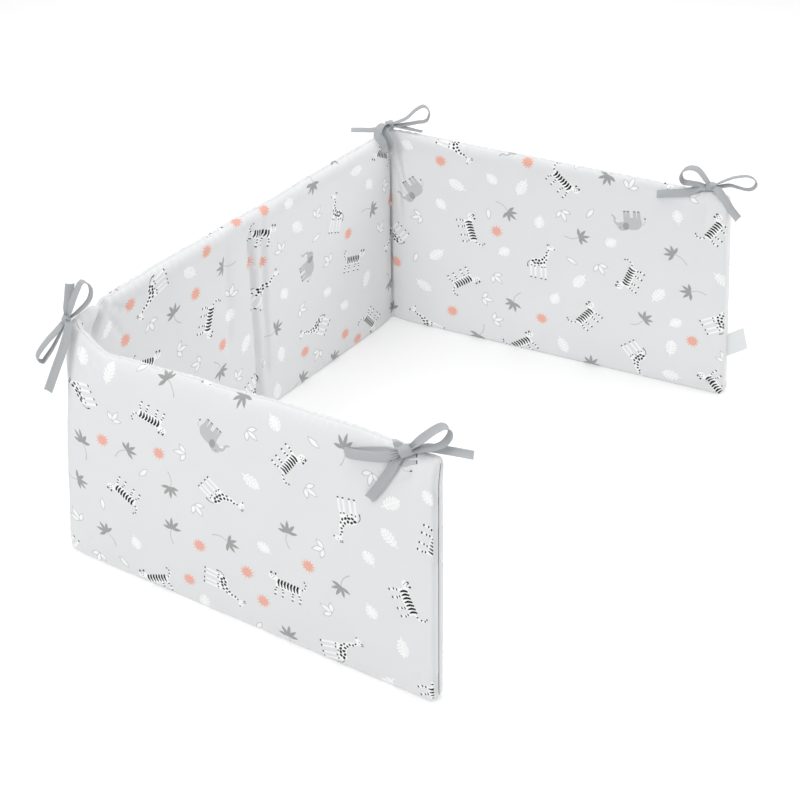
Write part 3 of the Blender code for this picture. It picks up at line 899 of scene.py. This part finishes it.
# Meshes ----------------------------------------------------------------------------------------------


def add_piece(name: str, mesh: bpy.types.Mesh, materials: list[bpy.types.Material]) -> bpy.types.Object:
    """Puts a mesh in the scene.

    Args:
        name: the piece's name.
        mesh: its mesh, in place.
        materials: its material slots.

    Returns:
        The new object.
    """
    for material in materials:
        mesh.materials.append(material)
    piece = bpy.data.objects.new(name, mesh)
    bpy.context.scene.collection.objects.link(piece)
    return piece


@dataclass
class Cover:
    """The padded cover with its print, as one closed surface."""

    shape: PadShape
    fine_girth: float = 0.020

    def flat_cloth(self) -> tuple[np.ndarray, np.ndarray, np.ndarray]:
        """Cuts the print's outlines into the grid of the flat cloth.

        Returns:
            Points of the flat cloth in metres, triangles, and the ink of each triangle.
        """
        shape = self.shape
        printed = TossedPrint(shape.length, shape.face - 0.001).strewn()
        points = [Vector((s * 1000, g * 1000)) for s in shape.stations() for g in shape.rows()]
        points += [Vector((s * 1000, g * 1000)) for s in shape.between() for g in shape.rows()
                   if abs(g) < self.fine_girth]
        faces = []
        for _, outline in printed:
            area = sum(p[0] * q[1] - q[0] * p[1] for p, q in zip(outline, outline[1:] + outline[:1]))
            first = len(points)
            points += [Vector(p) for p in outline]
            order = list(range(first, first + len(outline)))
            faces.append(order if area > 0 else order[::-1])
        made, _, triangles, _, _, sources = delaunay_2d_cdt(points, [], faces, 0, 0.01)
        order = {i: i for i in range(len(printed))}
        inks = np.array([printed[max(source, key=order.get)][0].value if source else 0
                         for source in sources])
        flat = np.array([tuple(p) for p in made]) / 1000
        LOG.info("flat cloth: %d points, %d triangles, %d outlines", len(flat), len(triangles), len(printed))
        return flat, np.array([tuple(t) for t in triangles])[:, ::-1], inks

    def build(self) -> bpy.types.Object:
        """Wraps the flat cloth round the pad and dresses it.

        Returns:
            The cover.
        """
        flat, triangles, inks = self.flat_cloth()
        places = self.shape.place(flat[:, 0], flat[:, 1])
        facing = self.shape.normals(flat[:, 0], flat[:, 1])
        _, first, same = np.unique(np.round(places / 2e-5), axis=0, return_index=True, return_inverse=True)
        same = same.ravel()
        joined = same[triangles]
        whole = (joined[:, 0] != joined[:, 1]) & (joined[:, 1] != joined[:, 2]) & (joined[:, 0] != joined[:, 2])
        triangles, joined, inks = triangles[whole], joined[whole], inks[whole]
        summed = np.zeros((len(first), 3))
        np.add.at(summed, same, facing)
        mesh = bpy.data.meshes.new("bumper_cover")
        mesh.from_pydata(places[first].tolist(), [], joined.tolist())
        mesh.polygons.foreach_set("material_index", inks.astype(np.int32))
        cloth = mesh.uv_layers.new(name="cloth")
        cloth.data.foreach_set("uv", flat[triangles.ravel()].astype(np.float32).ravel())
        mesh.polygons.foreach_set("use_smooth", np.ones(len(joined), bool))
        mesh.normals_split_custom_set_from_vertices(unit(summed).tolist())
        finishes = [WovenFinish(INK_COLORS[ink]).build(f"cotton_{ink.name.lower()}") for ink in Ink]
        cover = add_piece("bumper_cover", mesh, finishes)
        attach(cover, "root")
        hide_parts("bumper_pad")
        return cover


def smooth_path(points: list[Vector], spacing: float) -> list[Vector]:
    """Points on a smooth curve through the given ones.

    Args:
        points: what the curve passes through.
        spacing: about how far apart the new points are.

    Returns:
        The new points.
    """
    padded = [points[0] * 2 - points[1], *points, points[-1] * 2 - points[-2]]
    path = []
    for before, start, end, after in zip(padded, padded[1:], padded[2:], padded[3:]):
        steps = max(2, round((end - start).length / spacing))
        for i in range(steps):
            t = i / steps
            path.append(0.5 * (2 * start + (end - before) * t
                               + (2 * before - 5 * start + 4 * end - after) * t ** 2
                               + (3 * start - before - 3 * end + after) * t ** 3))
    return path + [points[-1]]


def tangents(path: list[Vector]) -> list[Vector]:
    """Directions along a path.

    Args:
        path: its points.

    Returns:
        A unit vector for each point.
    """
    last = len(path) - 1
    return [(path[min(i + 1, last)] - path[max(i - 1, 0)]).normalized() for i in range(last + 1)]


def evened(values: list, rounds: int, ends: bool = False) -> list:
    """Takes the jumps out of a row of vectors or numbers.

    Args:
        values: what is evened out.
        rounds: how many times.
        ends: whether the two ends move too.

    Returns:
        The evened row.
    """
    for _ in range(rounds):
        inner = [(a + b * 2 + c) * 0.25 for a, b, c in zip(values, values[1:], values[2:])]
        first = (values[0] + values[1]) * 0.5 if ends else values[0]
        last = (values[-1] + values[-2]) * 0.5 if ends else values[-1]
        values = [first, *inner, last]
    return values


@dataclass(frozen=True)
class Strip:
    """One loop or free end of a bow: its points from the knot, and which way its width runs."""

    closes: bool
    lies: bool
    width_at_start: tuple[float, float, float]
    width_at_end: tuple[float, float, float]
    points: tuple[tuple[float, float, float], ...]


@dataclass
class Ribbon:
    """A flat cotton strip with folded edges, swept along a path."""

    width: float = 0.0115
    thickness: float = 0.0010
    gathered: float = 0.52
    gather_reach: float = 0.018
    pleat: float = 0.0012
    cupped: float = 0.0010
    spacing: float = 0.0016
    across: int = 12
    loop_return: float = 0.0025
    clearance: float = 0.0016

    def path_of(self, knot: Vector, strip: Strip) -> list[Vector]:
        """The strip's centre line.

        Args:
            knot: the middle of the knot.
            strip: the loop or free end.

        Returns:
            Its points.
        """
        points = [knot] + [knot + Vector(offset) * MILLIMETRE for offset in strip.points]
        if strip.closes:
            points.append(knot - Vector((0, 0, self.loop_return)))
        return smooth_path(points, self.spacing)

    def facing(self, path: list[Vector], strip: Strip) -> list[Vector]:
        """Directions of the flat side, from the way the strip's width runs.

        Args:
            path: the centre line.
            strip: the loop or free end.

        Returns:
            A direction for each point.
        """
        found = []
        for i, tangent in enumerate(tangents(path)):
            across = Vector(strip.width_at_start).lerp(Vector(strip.width_at_end), i / (len(path) - 1))
            found.append(tangent.cross(across).normalized())
        return [normal.normalized() for normal in evened(found, 3, True)]

    def lifted(self, path: list[Vector], normals: list[Vector], tree: BVHTree) -> list[Vector]:
        """Moves the strip off the pad where it would touch.

        Args:
            path: the centre line.
            normals: the flat side's directions.
            tree: the pad's surface.

        Returns:
            The new centre line.
        """
        clearance = self.clearance + self.thickness / 2
        for number in range(8):
            shifts = []
            for point, tangent, normal in zip(path, tangents(path), normals):
                edge = tangent.cross(normal).normalized() * (self.width / 2)
                worst = Vector((0, 0, 0))
                for offset in (edge * 0, edge, -edge):
                    place = point + offset
                    near, outward, _, _ = tree.find_nearest(place)
                    depth = (place - near).dot(outward)
                    if depth < clearance and (place - near).length < clearance or depth < 0:
                        shift = outward * (clearance - depth)
                        worst = max(worst, shift, key=lambda v: v.length)
                shifts.append(worst)
            shifts = evened(shifts, 6 if number < 6 else 2)
            path = [point + shift * (1.3 if number < 6 else 1.0) for point, shift in zip(path, shifts)]
        return path

    def laid(self, path: list[Vector], normals: list[Vector], tree: BVHTree) -> list[Vector]:
        """Turns the flat side to the pad's surface where the strip is close to it.

        Args:
            path: the centre line.
            normals: the flat side's directions.
            tree: the pad's surface.

        Returns:
            The new directions.
        """
        found = []
        for point, normal in zip(path, normals):
            _, outward, _, gap = tree.find_nearest(point)
            sign = 1 if (found[-1] if found else normal).dot(outward) >= 0 else -1
            share = float(smooth_step(np.array((0.009 - gap) / 0.009)))
            found.append(normal.lerp(outward * sign, share).normalized())
        return [normal.normalized() for normal in evened(found, 4, True)]

    def rings(self, path: list[Vector], normals: list[Vector], knot: Vector) -> list[list[Vector]]:
        """Cross-sections of the strip: both flat sides, gathered in pleats towards the knot.

        Args:
            path: the centre line.
            normals: the flat side's directions.
            knot: the middle of the knot.

        Returns:
            A closed ring of points for each point of the path.
        """
        rings = []
        for point, tangent, normal in zip(path, tangents(path), normals):
            side = tangent.cross(normal).normalized()
            out = side.cross(tangent).normalized()
            near = 1 - float(smooth_step(np.array((point - knot).length / self.gather_reach)))
            width = self.width * (1 - (1 - self.gathered) * near)
            upper, lower = [], []
            for i in range(self.across + 1):
                u = 2 * i / self.across - 1
                bend = self.pleat * near * math.cos(math.pi * 3 * u) + self.cupped * (1 - near) * (u * u - 0.5)
                hem = 0.5 + 0.26 * math.exp(-(((abs(u) - 0.86) / 0.10) ** 2)) - 0.34 * max(0, abs(u) - 0.9) / 0.1
                middle = point + side * (u * width / 2) + out * bend
                upper.append(middle + out * (self.thickness * hem))
                lower.append(middle - out * (self.thickness * hem))
            rings.append(upper + lower[::-1])
        return rings


@dataclass
class Bow:
    """A pair of ties knotted in a bow."""

    name: str
    node: str
    knot: tuple[float, float, float]
    knot_turn: float
    strips: tuple[Strip, ...]
    ribbon: Ribbon = field(default_factory=Ribbon)
    knot_size: tuple[float, float, float] = (0.0078, 0.0050, 0.0060)

    def knot_mesh(self) -> tuple[list[Vector], list[list[int]]]:
        """The wrapped band of the knot, with its creases.

        Returns:
            Points and faces.
        """
        centre = Vector(self.knot)
        turn = math.radians(self.knot_turn)
        rounds, rows = 28, 14
        points, faces = [], []
        for row in range(rows + 1):
            lat = math.pi * (row / rows - 0.5)
            for i in range(rounds):
                lon = math.tau * i / rounds
                c, s = math.cos(lon), math.sin(lon)
                bulge = 1 / (abs(c) ** 3.2 + abs(s) ** 3.2) ** (1 / 3.2)
                ends = abs(math.cos(lat)) ** 0.22
                crease = 1 - 0.035 * math.cos(lat * 7 + c * 1.6) - 0.03 * math.cos(lat * 3 - s)
                x = self.knot_size[0] * math.copysign(abs(math.sin(lat)) ** 0.7, math.sin(lat))
                y = self.knot_size[1] * c * bulge * ends * crease
                z = self.knot_size[2] * s * bulge * ends * crease + 0.25 * y
                points.append(centre + Vector((x * math.cos(turn) - z * math.sin(turn), y,
                                               x * math.sin(turn) + z * math.cos(turn))))
        for row in range(rows):
            for i in range(rounds):
                j = (i + 1) % rounds
                a, b = row * rounds, (row + 1) * rounds
                faces.append([a + i, b + i, b + j, a + j])
        return points, faces

    def build(self, cover: bpy.types.Object, tree: BVHTree, cotton: bpy.types.Material) -> bpy.types.Object:
        """Makes the bow as one piece.

        Args:
            cover: not used.
            tree: the cover's surface.
            cotton: the material of the ties.

        Returns:
            The bow.
        """
        points, faces = self.knot_mesh()
        knot = Vector(self.knot)
        places = [(0.0, 0.0)] * len(points)
        ribbon = self.ribbon
        for strip in self.strips:
            path = ribbon.path_of(knot, strip)
            normals = ribbon.facing(path, strip)
            if strip.lies:
                path = ribbon.lifted(path, normals, tree)
                normals = ribbon.laid(path, normals, tree)
            path = ribbon.lifted(path, normals, tree)
            rings = ribbon.rings(path, normals, knot)
            first, count = len(points), len(rings[0])
            run = 0.0
            for i, ring in enumerate(rings):
                run += (path[i] - path[i - 1]).length if i else 0.0
                points += ring
                half = count // 2
                places += [(run, (j if j < half else count - 1 - j) * ribbon.width / (half - 1))
                           for j in range(count)]
            for i in range(len(rings) - 1):
                for j in range(count):
                    k = (j + 1) % count
                    a, b = first + i * count, first + (i + 1) * count
                    faces.append([a + j, a + k, b + k, b + j])
            faces.append(list(range(first, first + count))[::-1])
            faces.append(list(range(first + (len(rings) - 1) * count, first + len(rings) * count)))
        mesh = bpy.data.meshes.new(self.name)
        mesh.from_pydata([tuple(p) for p in points], [], faces)
        shape = bmesh.new()
        shape.from_mesh(mesh)
        bmesh.ops.remove_doubles(shape, verts=shape.verts[:], dist=1e-6)
        bmesh.ops.recalc_face_normals(shape, faces=shape.faces[:])
        shape.to_mesh(mesh)
        shape.free()
        cloth = mesh.uv_layers.new(name="cloth")
        if len(mesh.vertices) == len(places):
            for loop in mesh.loops:
                cloth.data[loop.index].uv = places[loop.vertex_index]
        mesh.shade_smooth()
        mesh.set_sharp_from_angle(angle=math.radians(60))
        bow = add_piece(self.name, mesh, [cotton])
        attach(bow, "root")
        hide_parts(self.node)
        return bow


@dataclass
class SideTag:
    """The folded woven tag in the right end's seam, left blank."""

    shape: PadShape
    low: float = 0.0655
    height: float = 0.038
    reach: float = 0.029
    rise: float = 32.0
    skew: float = 0.25
    turn: float = 12.0
    layer: float = 0.00035
    gap: float = 0.0007
    steps: int = 14

    def build(self, cover: bpy.types.Object) -> bpy.types.Object:
        """Makes the tag: out from the seam, over its fold and back.

        Args:
            cover: not used.

        Returns:
            The tag.
        """
        heights = np.array((self.low, self.low + self.height))
        end = np.full(2, self.shape.length)
        flat, _ = self.shape.centre(end, heights / self.shape.top_height(end))
        low, high = (Vector((*flat[i], heights[i])) for i in range(2))
        angle = math.radians(self.shape.sections[2][1] + self.turn)
        rise = math.radians(self.rise)
        plan = Vector((math.cos(angle), math.sin(angle), 0))
        outward = plan * math.cos(rise) + Vector((0, 0, math.sin(rise)))
        seam = (high - low).normalized()
        facing = outward.cross(seam).normalized()
        start = (low + high) / 2 + plan * self.gap
        spread = self.layer * 1.1
        path = []
        for i in range(self.steps):
            share = i / (self.steps - 1)
            bow = 0.0009 * math.sin(math.pi * share)
            path.append((share * (self.reach - spread), spread + bow))
        for i in range(1, 6):
            lean = math.pi * i / 6
            path.append((self.reach - spread + spread * math.sin(lean), spread * math.cos(lean)))
        for i in range(self.steps):
            share = 1 - i / (self.steps - 1)
            path.append((share * (self.reach - spread), -spread + 0.0006 * math.sin(math.pi * share)))
        points, faces, places = [], [], []
        for i, (out, off) in enumerate(path):
            before, after = path[max(i - 1, 0)], path[min(i + 1, len(path) - 1)]
            way = Vector((after[0] - before[0], after[1] - before[1])).normalized()
            thick = outward * (-way.y) + facing * way.x
            middle = start + outward * out + facing * off
            for across, up in ((-0.5, 1), (0.5, 1), (0.5, -1), (-0.5, -1)):
                slant = outward * (-across * self.skew * out)
                points.append(middle + seam * (across * self.height) + slant + thick * (up * self.layer / 2))
                places.append((i * 0.002, across * self.height))
        for i in range(len(path) - 1):
            for j in range(4):
                k = (j + 1) % 4
                faces.append([i * 4 + j, i * 4 + k, i * 4 + 4 + k, i * 4 + 4 + j])
        faces += [[3, 2, 1, 0], [len(points) - 4 + j for j in range(4)]]
        mesh = bpy.data.meshes.new("side_tag")
        mesh.from_pydata([tuple(p) for p in points], [], faces)
        cloth = mesh.uv_layers.new(name="cloth")
        for loop in mesh.loops:
            cloth.data[loop.index].uv = places[loop.vertex_index]
        shape = bmesh.new()
        shape.from_mesh(mesh)
        bmesh.ops.recalc_face_normals(shape, faces=shape.faces[:])
        shape.to_mesh(mesh)
        shape.free()
        mesh.shade_smooth()
        mesh.set_sharp_from_angle(angle=math.radians(40))
        satin = WovenFinish((228, 231, 232), roughness=0.6, thread=0.0003, ripple_strength=0.05)
        tag = add_piece("side_tag", mesh, [satin.build("white_tape")])
        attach(tag, "root")
        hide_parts("side_label")
        return tag


@dataclass
class StitchRows:
    """Rows of sewn stitches along seams, made by a node tree that follows curves."""

    pitch: float = 0.0030
    stitch: float = 0.0021
    thread: float = 0.00026

    def tree(self) -> bpy.types.NodeTree:
        """Builds the node tree: stitches laid end to end along each curve.

        Returns:
            The tree.
        """
        tree = bpy.data.node_groups.new("stitch_rows", "GeometryNodeTree")
        tree.interface.new_socket("Seams", in_out="INPUT", socket_type="NodeSocketGeometry")
        for name in ("Pitch", "Stitch Length", "Thread Radius"):
            tree.interface.new_socket(name, in_out="INPUT", socket_type="NodeSocketFloat")
        tree.interface.new_socket("Thread", in_out="INPUT", socket_type="NodeSocketMaterial")
        tree.interface.new_socket("Stitches", in_out="OUTPUT", socket_type="NodeSocketGeometry")
        given = tree.nodes.new("NodeGroupInput")
        result = tree.nodes.new("NodeGroupOutput")
        spaced = tree.nodes.new("GeometryNodeResampleCurve")
        spaced.mode = "LENGTH"
        tree.links.new(given.outputs["Seams"], spaced.inputs["Curve"])
        tree.links.new(given.outputs["Pitch"], spaced.inputs["Length"])
        one = tree.nodes.new("GeometryNodeMeshCylinder")
        one.inputs["Vertices"].default_value = 6
        tree.links.new(given.outputs["Thread Radius"], one.inputs["Radius"])
        tree.links.new(given.outputs["Stitch Length"], one.inputs["Depth"])
        way = tree.nodes.new("GeometryNodeInputTangent")
        turned = tree.nodes.new("FunctionNodeAlignEulerToVector")
        turned.axis = "Z"
        tree.links.new(way.outputs["Tangent"], turned.inputs["Vector"])
        laid = tree.nodes.new("GeometryNodeInstanceOnPoints")
        tree.links.new(spaced.outputs["Curve"], laid.inputs["Points"])
        tree.links.new(one.outputs["Mesh"], laid.inputs["Instance"])
        tree.links.new(turned.outputs["Rotation"], laid.inputs["Rotation"])
        real = tree.nodes.new("GeometryNodeRealizeInstances")
        tree.links.new(laid.outputs["Instances"], real.inputs["Geometry"])
        dressed = tree.nodes.new("GeometryNodeSetMaterial")
        tree.links.new(real.outputs["Geometry"], dressed.inputs["Geometry"])
        tree.links.new(given.outputs["Thread"], dressed.inputs["Material"])
        tree.links.new(dressed.outputs["Geometry"], result.inputs["Stitches"])
        return tree

    def build(self, name: str, seams: list[list[tuple[float, float, float]]], slot: str,
              thread: bpy.types.Material) -> bpy.types.Object:
        """Sews stitches along seams.

        Args:
            name: the piece's name.
            seams: the points of each seam.
            slot: not used.
            thread: the material.

        Returns:
            The stitches as one piece.
        """
        lines = bpy.data.curves.new(name + "_lines", "CURVE")
        lines.dimensions = "3D"
        for seam in seams:
            spline = lines.splines.new("POLY")
            spline.points.add(len(seam) - 1)
            for point, place in zip(spline.points, seam):
                point.co = (*place, 1.0)
        guide = bpy.data.objects.new(name + "_lines", lines)
        bpy.context.scene.collection.objects.link(guide)
        sewing = guide.modifiers.new("sewing", "NODES")
        sewing.node_group = self.tree()
        values = {"Pitch": self.pitch, "Stitch Length": self.stitch, "Thread Radius": self.thread,
                  "Thread": thread}
        for item in sewing.node_group.interface.items_tree:
            if item.item_type == "SOCKET" and item.in_out == "INPUT" and item.name in values:
                sewing[item.identifier] = values[item.name]
        graph = bpy.context.evaluated_depsgraph_get()
        mesh = bpy.data.meshes.new_from_object(guide.evaluated_get(graph), depsgraph=graph)
        mesh.name = name
        bpy.data.objects.remove(guide)
        if not mesh.materials:
            mesh.materials.append(thread)
        piece = add_piece(name, mesh, [])
        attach(piece, "root")
        return piece


@dataclass
class Studio:
    """Floor, soft light and camera."""

    camera_place: tuple[float, float, float] = (-0.0226, -1.7652, 1.507)
    camera_tilt: float = 31.8
    lens: float = 74.7
    shift: float = -0.22
    floor_size: float = 12.0

    def build_floor(self) -> None:
        """A plain pale floor."""
        half = self.floor_size / 2
        mesh = bpy.data.meshes.new("floor")
        mesh.from_pydata([(-half, -half, 0), (half, -half, 0), (half, half, 0), (-half, half, 0)], [],
                         [(0, 1, 2, 3)])
        floor = add_piece("floor", mesh, [PlainFinish((250, 250, 250), 0.9, 0.05, 0.112).build("pale_floor")])

    def build_light(self) -> None:
        """A bright room and one large soft lamp overhead."""
        world = bpy.data.worlds.new("studio")
        bpy.context.scene.world = world
        world.use_nodes = True
        world.node_tree.nodes["Background"].inputs["Color"].default_value = (1.0, 1.0, 1.0, 1.0)
        world.node_tree.nodes["Background"].inputs["Strength"].default_value = 0.5
        for name, place, size, power in (("left_front", (-1.7, -1.7, 1.7), 1.0, 18.4),
                                         ("right", (2.2, 0.15, 1.3), 1.2, 17.7),
                                         ("above_near", (-0.15, -0.45, 1.7), 0.7, 4.0),
                                         ("above_all", (-0.3, -0.3, 2.4), 2.2, 8.0),
                                         ("behind", (-0.4, 1.6, 2.2), 1.2, 16.8)):
            lamp = bpy.data.lights.new(name, "AREA")
            lamp.size = size
            lamp.energy = power
            holder = bpy.data.objects.new(name, lamp)
            holder.location = place
            holder.rotation_euler = (-Vector(place)).to_track_quat("-Z", "Y").to_euler()
            bpy.context.scene.collection.objects.link(holder)

    def build_camera(self) -> None:
        """The photograph's view."""
        data = bpy.data.cameras.new("camera")
        data.lens = self.lens
        data.shift_y = self.shift
        camera = bpy.data.objects.new("camera", data)
        camera.location = self.camera_place
        camera.rotation_euler = (math.radians(90 - self.camera_tilt), 0, 0)
        bpy.context.scene.collection.objects.link(camera)
        bpy.context.scene.camera = camera

    def build(self) -> None:
        """Makes the floor, the light and the camera."""
        self.build_floor()
        self.build_light()
        self.build_camera()
        bpy.context.scene.view_settings.view_transform = "Standard"


def bows() -> list[Bow]:
    """The four bows, from the near end round to the right end."""
    near = Bow("near_end_bow", "tie_near_end", (-0.0161, -0.3609, 0.3462), 27, (
        Strip(True, False, (-0.55, 0.79, 0.27), (-0.30, 0.93, -0.10),
              ((7.6, -2, 9.6), (19.4, -3, 20.8), (30.1, -1, 28.8), (39.8, 1, 32.7), (46.4, 3, 28.4),
               (47.6, 3, 20.1), (43.9, 1, 13.4), (37.9, -2, 9.6), (29.2, -4, 7.8), (18.4, -4, 5.7))),
        Strip(True, False, (-0.1, 0.53, 0.85), (-0.2, 0.85, 0.25),
              ((-24, 2, -10), (-43, 11, -16.5), (-60, 20, -21), (-67, 27, -24), (-60, 27, -23.5),
               (-42, 19, -16.5), (-22, 9, -9))),
        Strip(False, False, (0, 0.95, 0.32), (0, 0.95, 0.32), ((21, 3, 1.7), (48, 2, -2.3), (74, 0, -6.7))),
        Strip(False, True, (0.76, -0.42, -0.48), (0.76, -0.42, -0.48),
              ((-11, -1, -15), (-17, 0, -28), (-29, 4, -53), (-41, 9, -76)))),
        ribbon=Ribbon(gather_reach=0.028, pleat=0.0017), knot_size=(0.0080, 0.0052, 0.0058))
    left = Bow("left_corner_bow", "tie_left_corner", (-0.4278, -0.1122, 0.3465), 65, (
        Strip(True, False, (-0.72, 0.70, -0.01), (-0.36, 0.87, -0.33),
              ((14, -3, 35), (22.6, -3, 53), (27.3, -1, 55), (32.8, 1, 47), (32.3, 2, 34.5),
               (26.2, 3, 22), (14.1, 3, 9))),
        Strip(True, False, (-0.53, 0.84, 0.10), (-0.25, 0.92, -0.28),
              ((-13, -5, -14), (-26.4, -8, -28.5), (-37.5, -9, -44.4), (-40.1, -8, -54.7),
               (-34.5, -6, -60), (-29.4, -5, -54), (-20.3, -4, -40.5), (-10.2, -3, -22))),
        Strip(False, False, (0.95, 0.25, -0.15), (0.95, 0.25, -0.15), ((4.6, 3, 24), (6.5, 4, 36), (8.6, 4, 48.7))),
        Strip(False, False, (0.80, -0.30, -0.10), (0.82, -0.30, -0.12),
              ((5.3, -13, 0.1), (2.3, -22, -12.7), (-4.4, -27, -31.5), (-11.7, -29, -49.5), (-26.2, -31, -86.1)))),
        knot_size=(0.0052, 0.0048, 0.0052))
    back = Bow("back_corner_bow", "tie_back_corner", (-0.0379, 0.3946, 0.3402), 15, (
        Strip(True, False, (-0.10, 0.97, -0.21), (-0.10, 0.99, -0.03),
              ((23.5, 2, 9), (38.3, 3, 22.8), (50.5, 3, 29.2), (58.3, 2, 20.5), (54.2, 1, 7.1),
               (40.6, 0, 4.4), (23.5, 0, 1))),
        Strip(True, False, (0.97, -0.20, 0.10), (0.92, -0.30, 0.10),
              ((-8.2, -12, 7.8), (-14.7, -24, 7.6), (-17.8, -33, -0.7), (-16.1, -37, -11.9), (-13.6, -34, -23.6),
               (-11.0, -27, -25.0), (-9.0, -21, -17.5), (-7.0, -16, -7.3), (-4.0, -9, 0.3))),
        Strip(False, False, (0, 1.0, 0.09), (0, 1.0, 0.09), ((-23.3, 2, -9), (-40.6, 2, -9.3), (-57, 2, -9.3))),
        Strip(False, True, (0.3, 0.95, 0), (0.3, 0.95, 0), ((15, -4, -1), (28, -8, -2.5), (47.6, -14, -4)))),
        ribbon=Ribbon(gather_reach=0.010), knot_size=(0.0060, 0.0050, 0.0055))
    right = Bow("right_end_bow", "tie_right_end", (0.4077, 0.2154, 0.3395), -10, (
        Strip(True, False, (0.49, 0.86, 0.13), (0.49, 0.86, 0.13),
              ((-12.7, -2, 20), (-21.9, -2, 29.7), (-32.3, 0, 30.6), (-40.4, 1, 25.2), (-42.7, 2, 15.2),
               (-38.1, 3, 6.2), (-26.6, 3, 3.5), (-12.7, 2, 1.4))),
        Strip(True, False, (0, 0.90, -0.42), (0, 1.0, -0.03),
              ((24.2, 1, 11.6), (35.7, 1, 15), (48.5, 0, 16.8), (58.9, 0, 12.2), (62.3, 0, 4.1),
               (57.8, 0, -2.8), (49.6, 0, -4.1), (38.1, 0, -0.8), (24.2, 0, 2.6))),
        Strip(False, True, (0.1, 0.81, 0.55), (0.1, 0.81, 0.55), ((-14, -2, 1), (-28, -3, -5), (-42, -1, -9), (-72, 8, -16))),
        Strip(False, False, (0.75, 0.5, 0.42), (0.75, 0.5, 0.42),
              ((8, -14, 2), (20, -23, -14.5), (37.4, -26, -36.5)))),
        knot_size=(0.0078, 0.0050, 0.0060))
    return [near, left, back, right]


def seam_lines(shape: PadShape) -> tuple[list[list[tuple[float, float, float]]], ...]:
    """Where the cover is sewn: in the ridge seam and down both ends.

    Args:
        shape: the pad's surface.

    Returns:
        The rows of pale stitches, and those of dark ones, whose dark thread is painted shade for the near end's seam
        groove.
    """
    ridge = np.linspace(0.012, shape.length - 0.012, 1200)
    down = np.linspace(0.003, shape.face - 0.003, 240)
    rows = [(ridge, np.zeros(len(ridge))), (np.full(len(down), shape.length + shape.cap), down),
            (np.full(len(down), -0.55 * shape.cap), -down)]
    lines = [[tuple(place) for place in shape.place(along, girth)] for along, girth in rows]
    return lines[:2], lines[2:]


def main() -> None:
    """Builds each part of the scene in order."""
    logging.basicConfig(level=logging.INFO, format="%(message)s")
    for thing in list(bpy.data.objects):
        bpy.data.objects.remove(thing)
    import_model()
    shape = PadShape()
    cover = Cover(shape).build()
    LOG.info("%s: %d triangles", cover.name, len(cover.data.polygons))
    tree = BVHTree.FromPolygons([v.co for v in cover.data.vertices],
                                [tuple(p.vertices) for p in cover.data.polygons])
    cotton = WovenFinish((174, 177, 179), thread=0.0005, thread_strength=0.35, ripple=0.012,
                          ripple_strength=0.5).build("tie_cotton")
    for bow in bows():
        piece = bow.build(cover, tree, cotton)
        LOG.info("%s: %d faces", piece.name, len(piece.data.polygons))
    tag = SideTag(shape).build(cover)
    LOG.info("%s: %d faces", tag.name, len(tag.data.polygons))
    pale, dark = seam_lines(shape)
    # The near end's dark thread is partly real thread and partly painted shade: it darkens that seam line as the
    # groove's shadow would.
    for name, lines, color, sewn in (
            ("ridge_stitches", pale, (186, 188, 190), StitchRows()),
            ("end_stitches_painted_shade", dark, (116, 119, 122), StitchRows(0.0024, 0.0023, 0.0005))):
        thread = PlainFinish(color).build(name + "_thread")
        stitches = sewn.build(name, lines, "cover_cloth", thread)
        LOG.info("%s: %d faces", stitches.name, len(stitches.data.polygons))
    Studio().build()


if __name__ == "__main__":
    main()
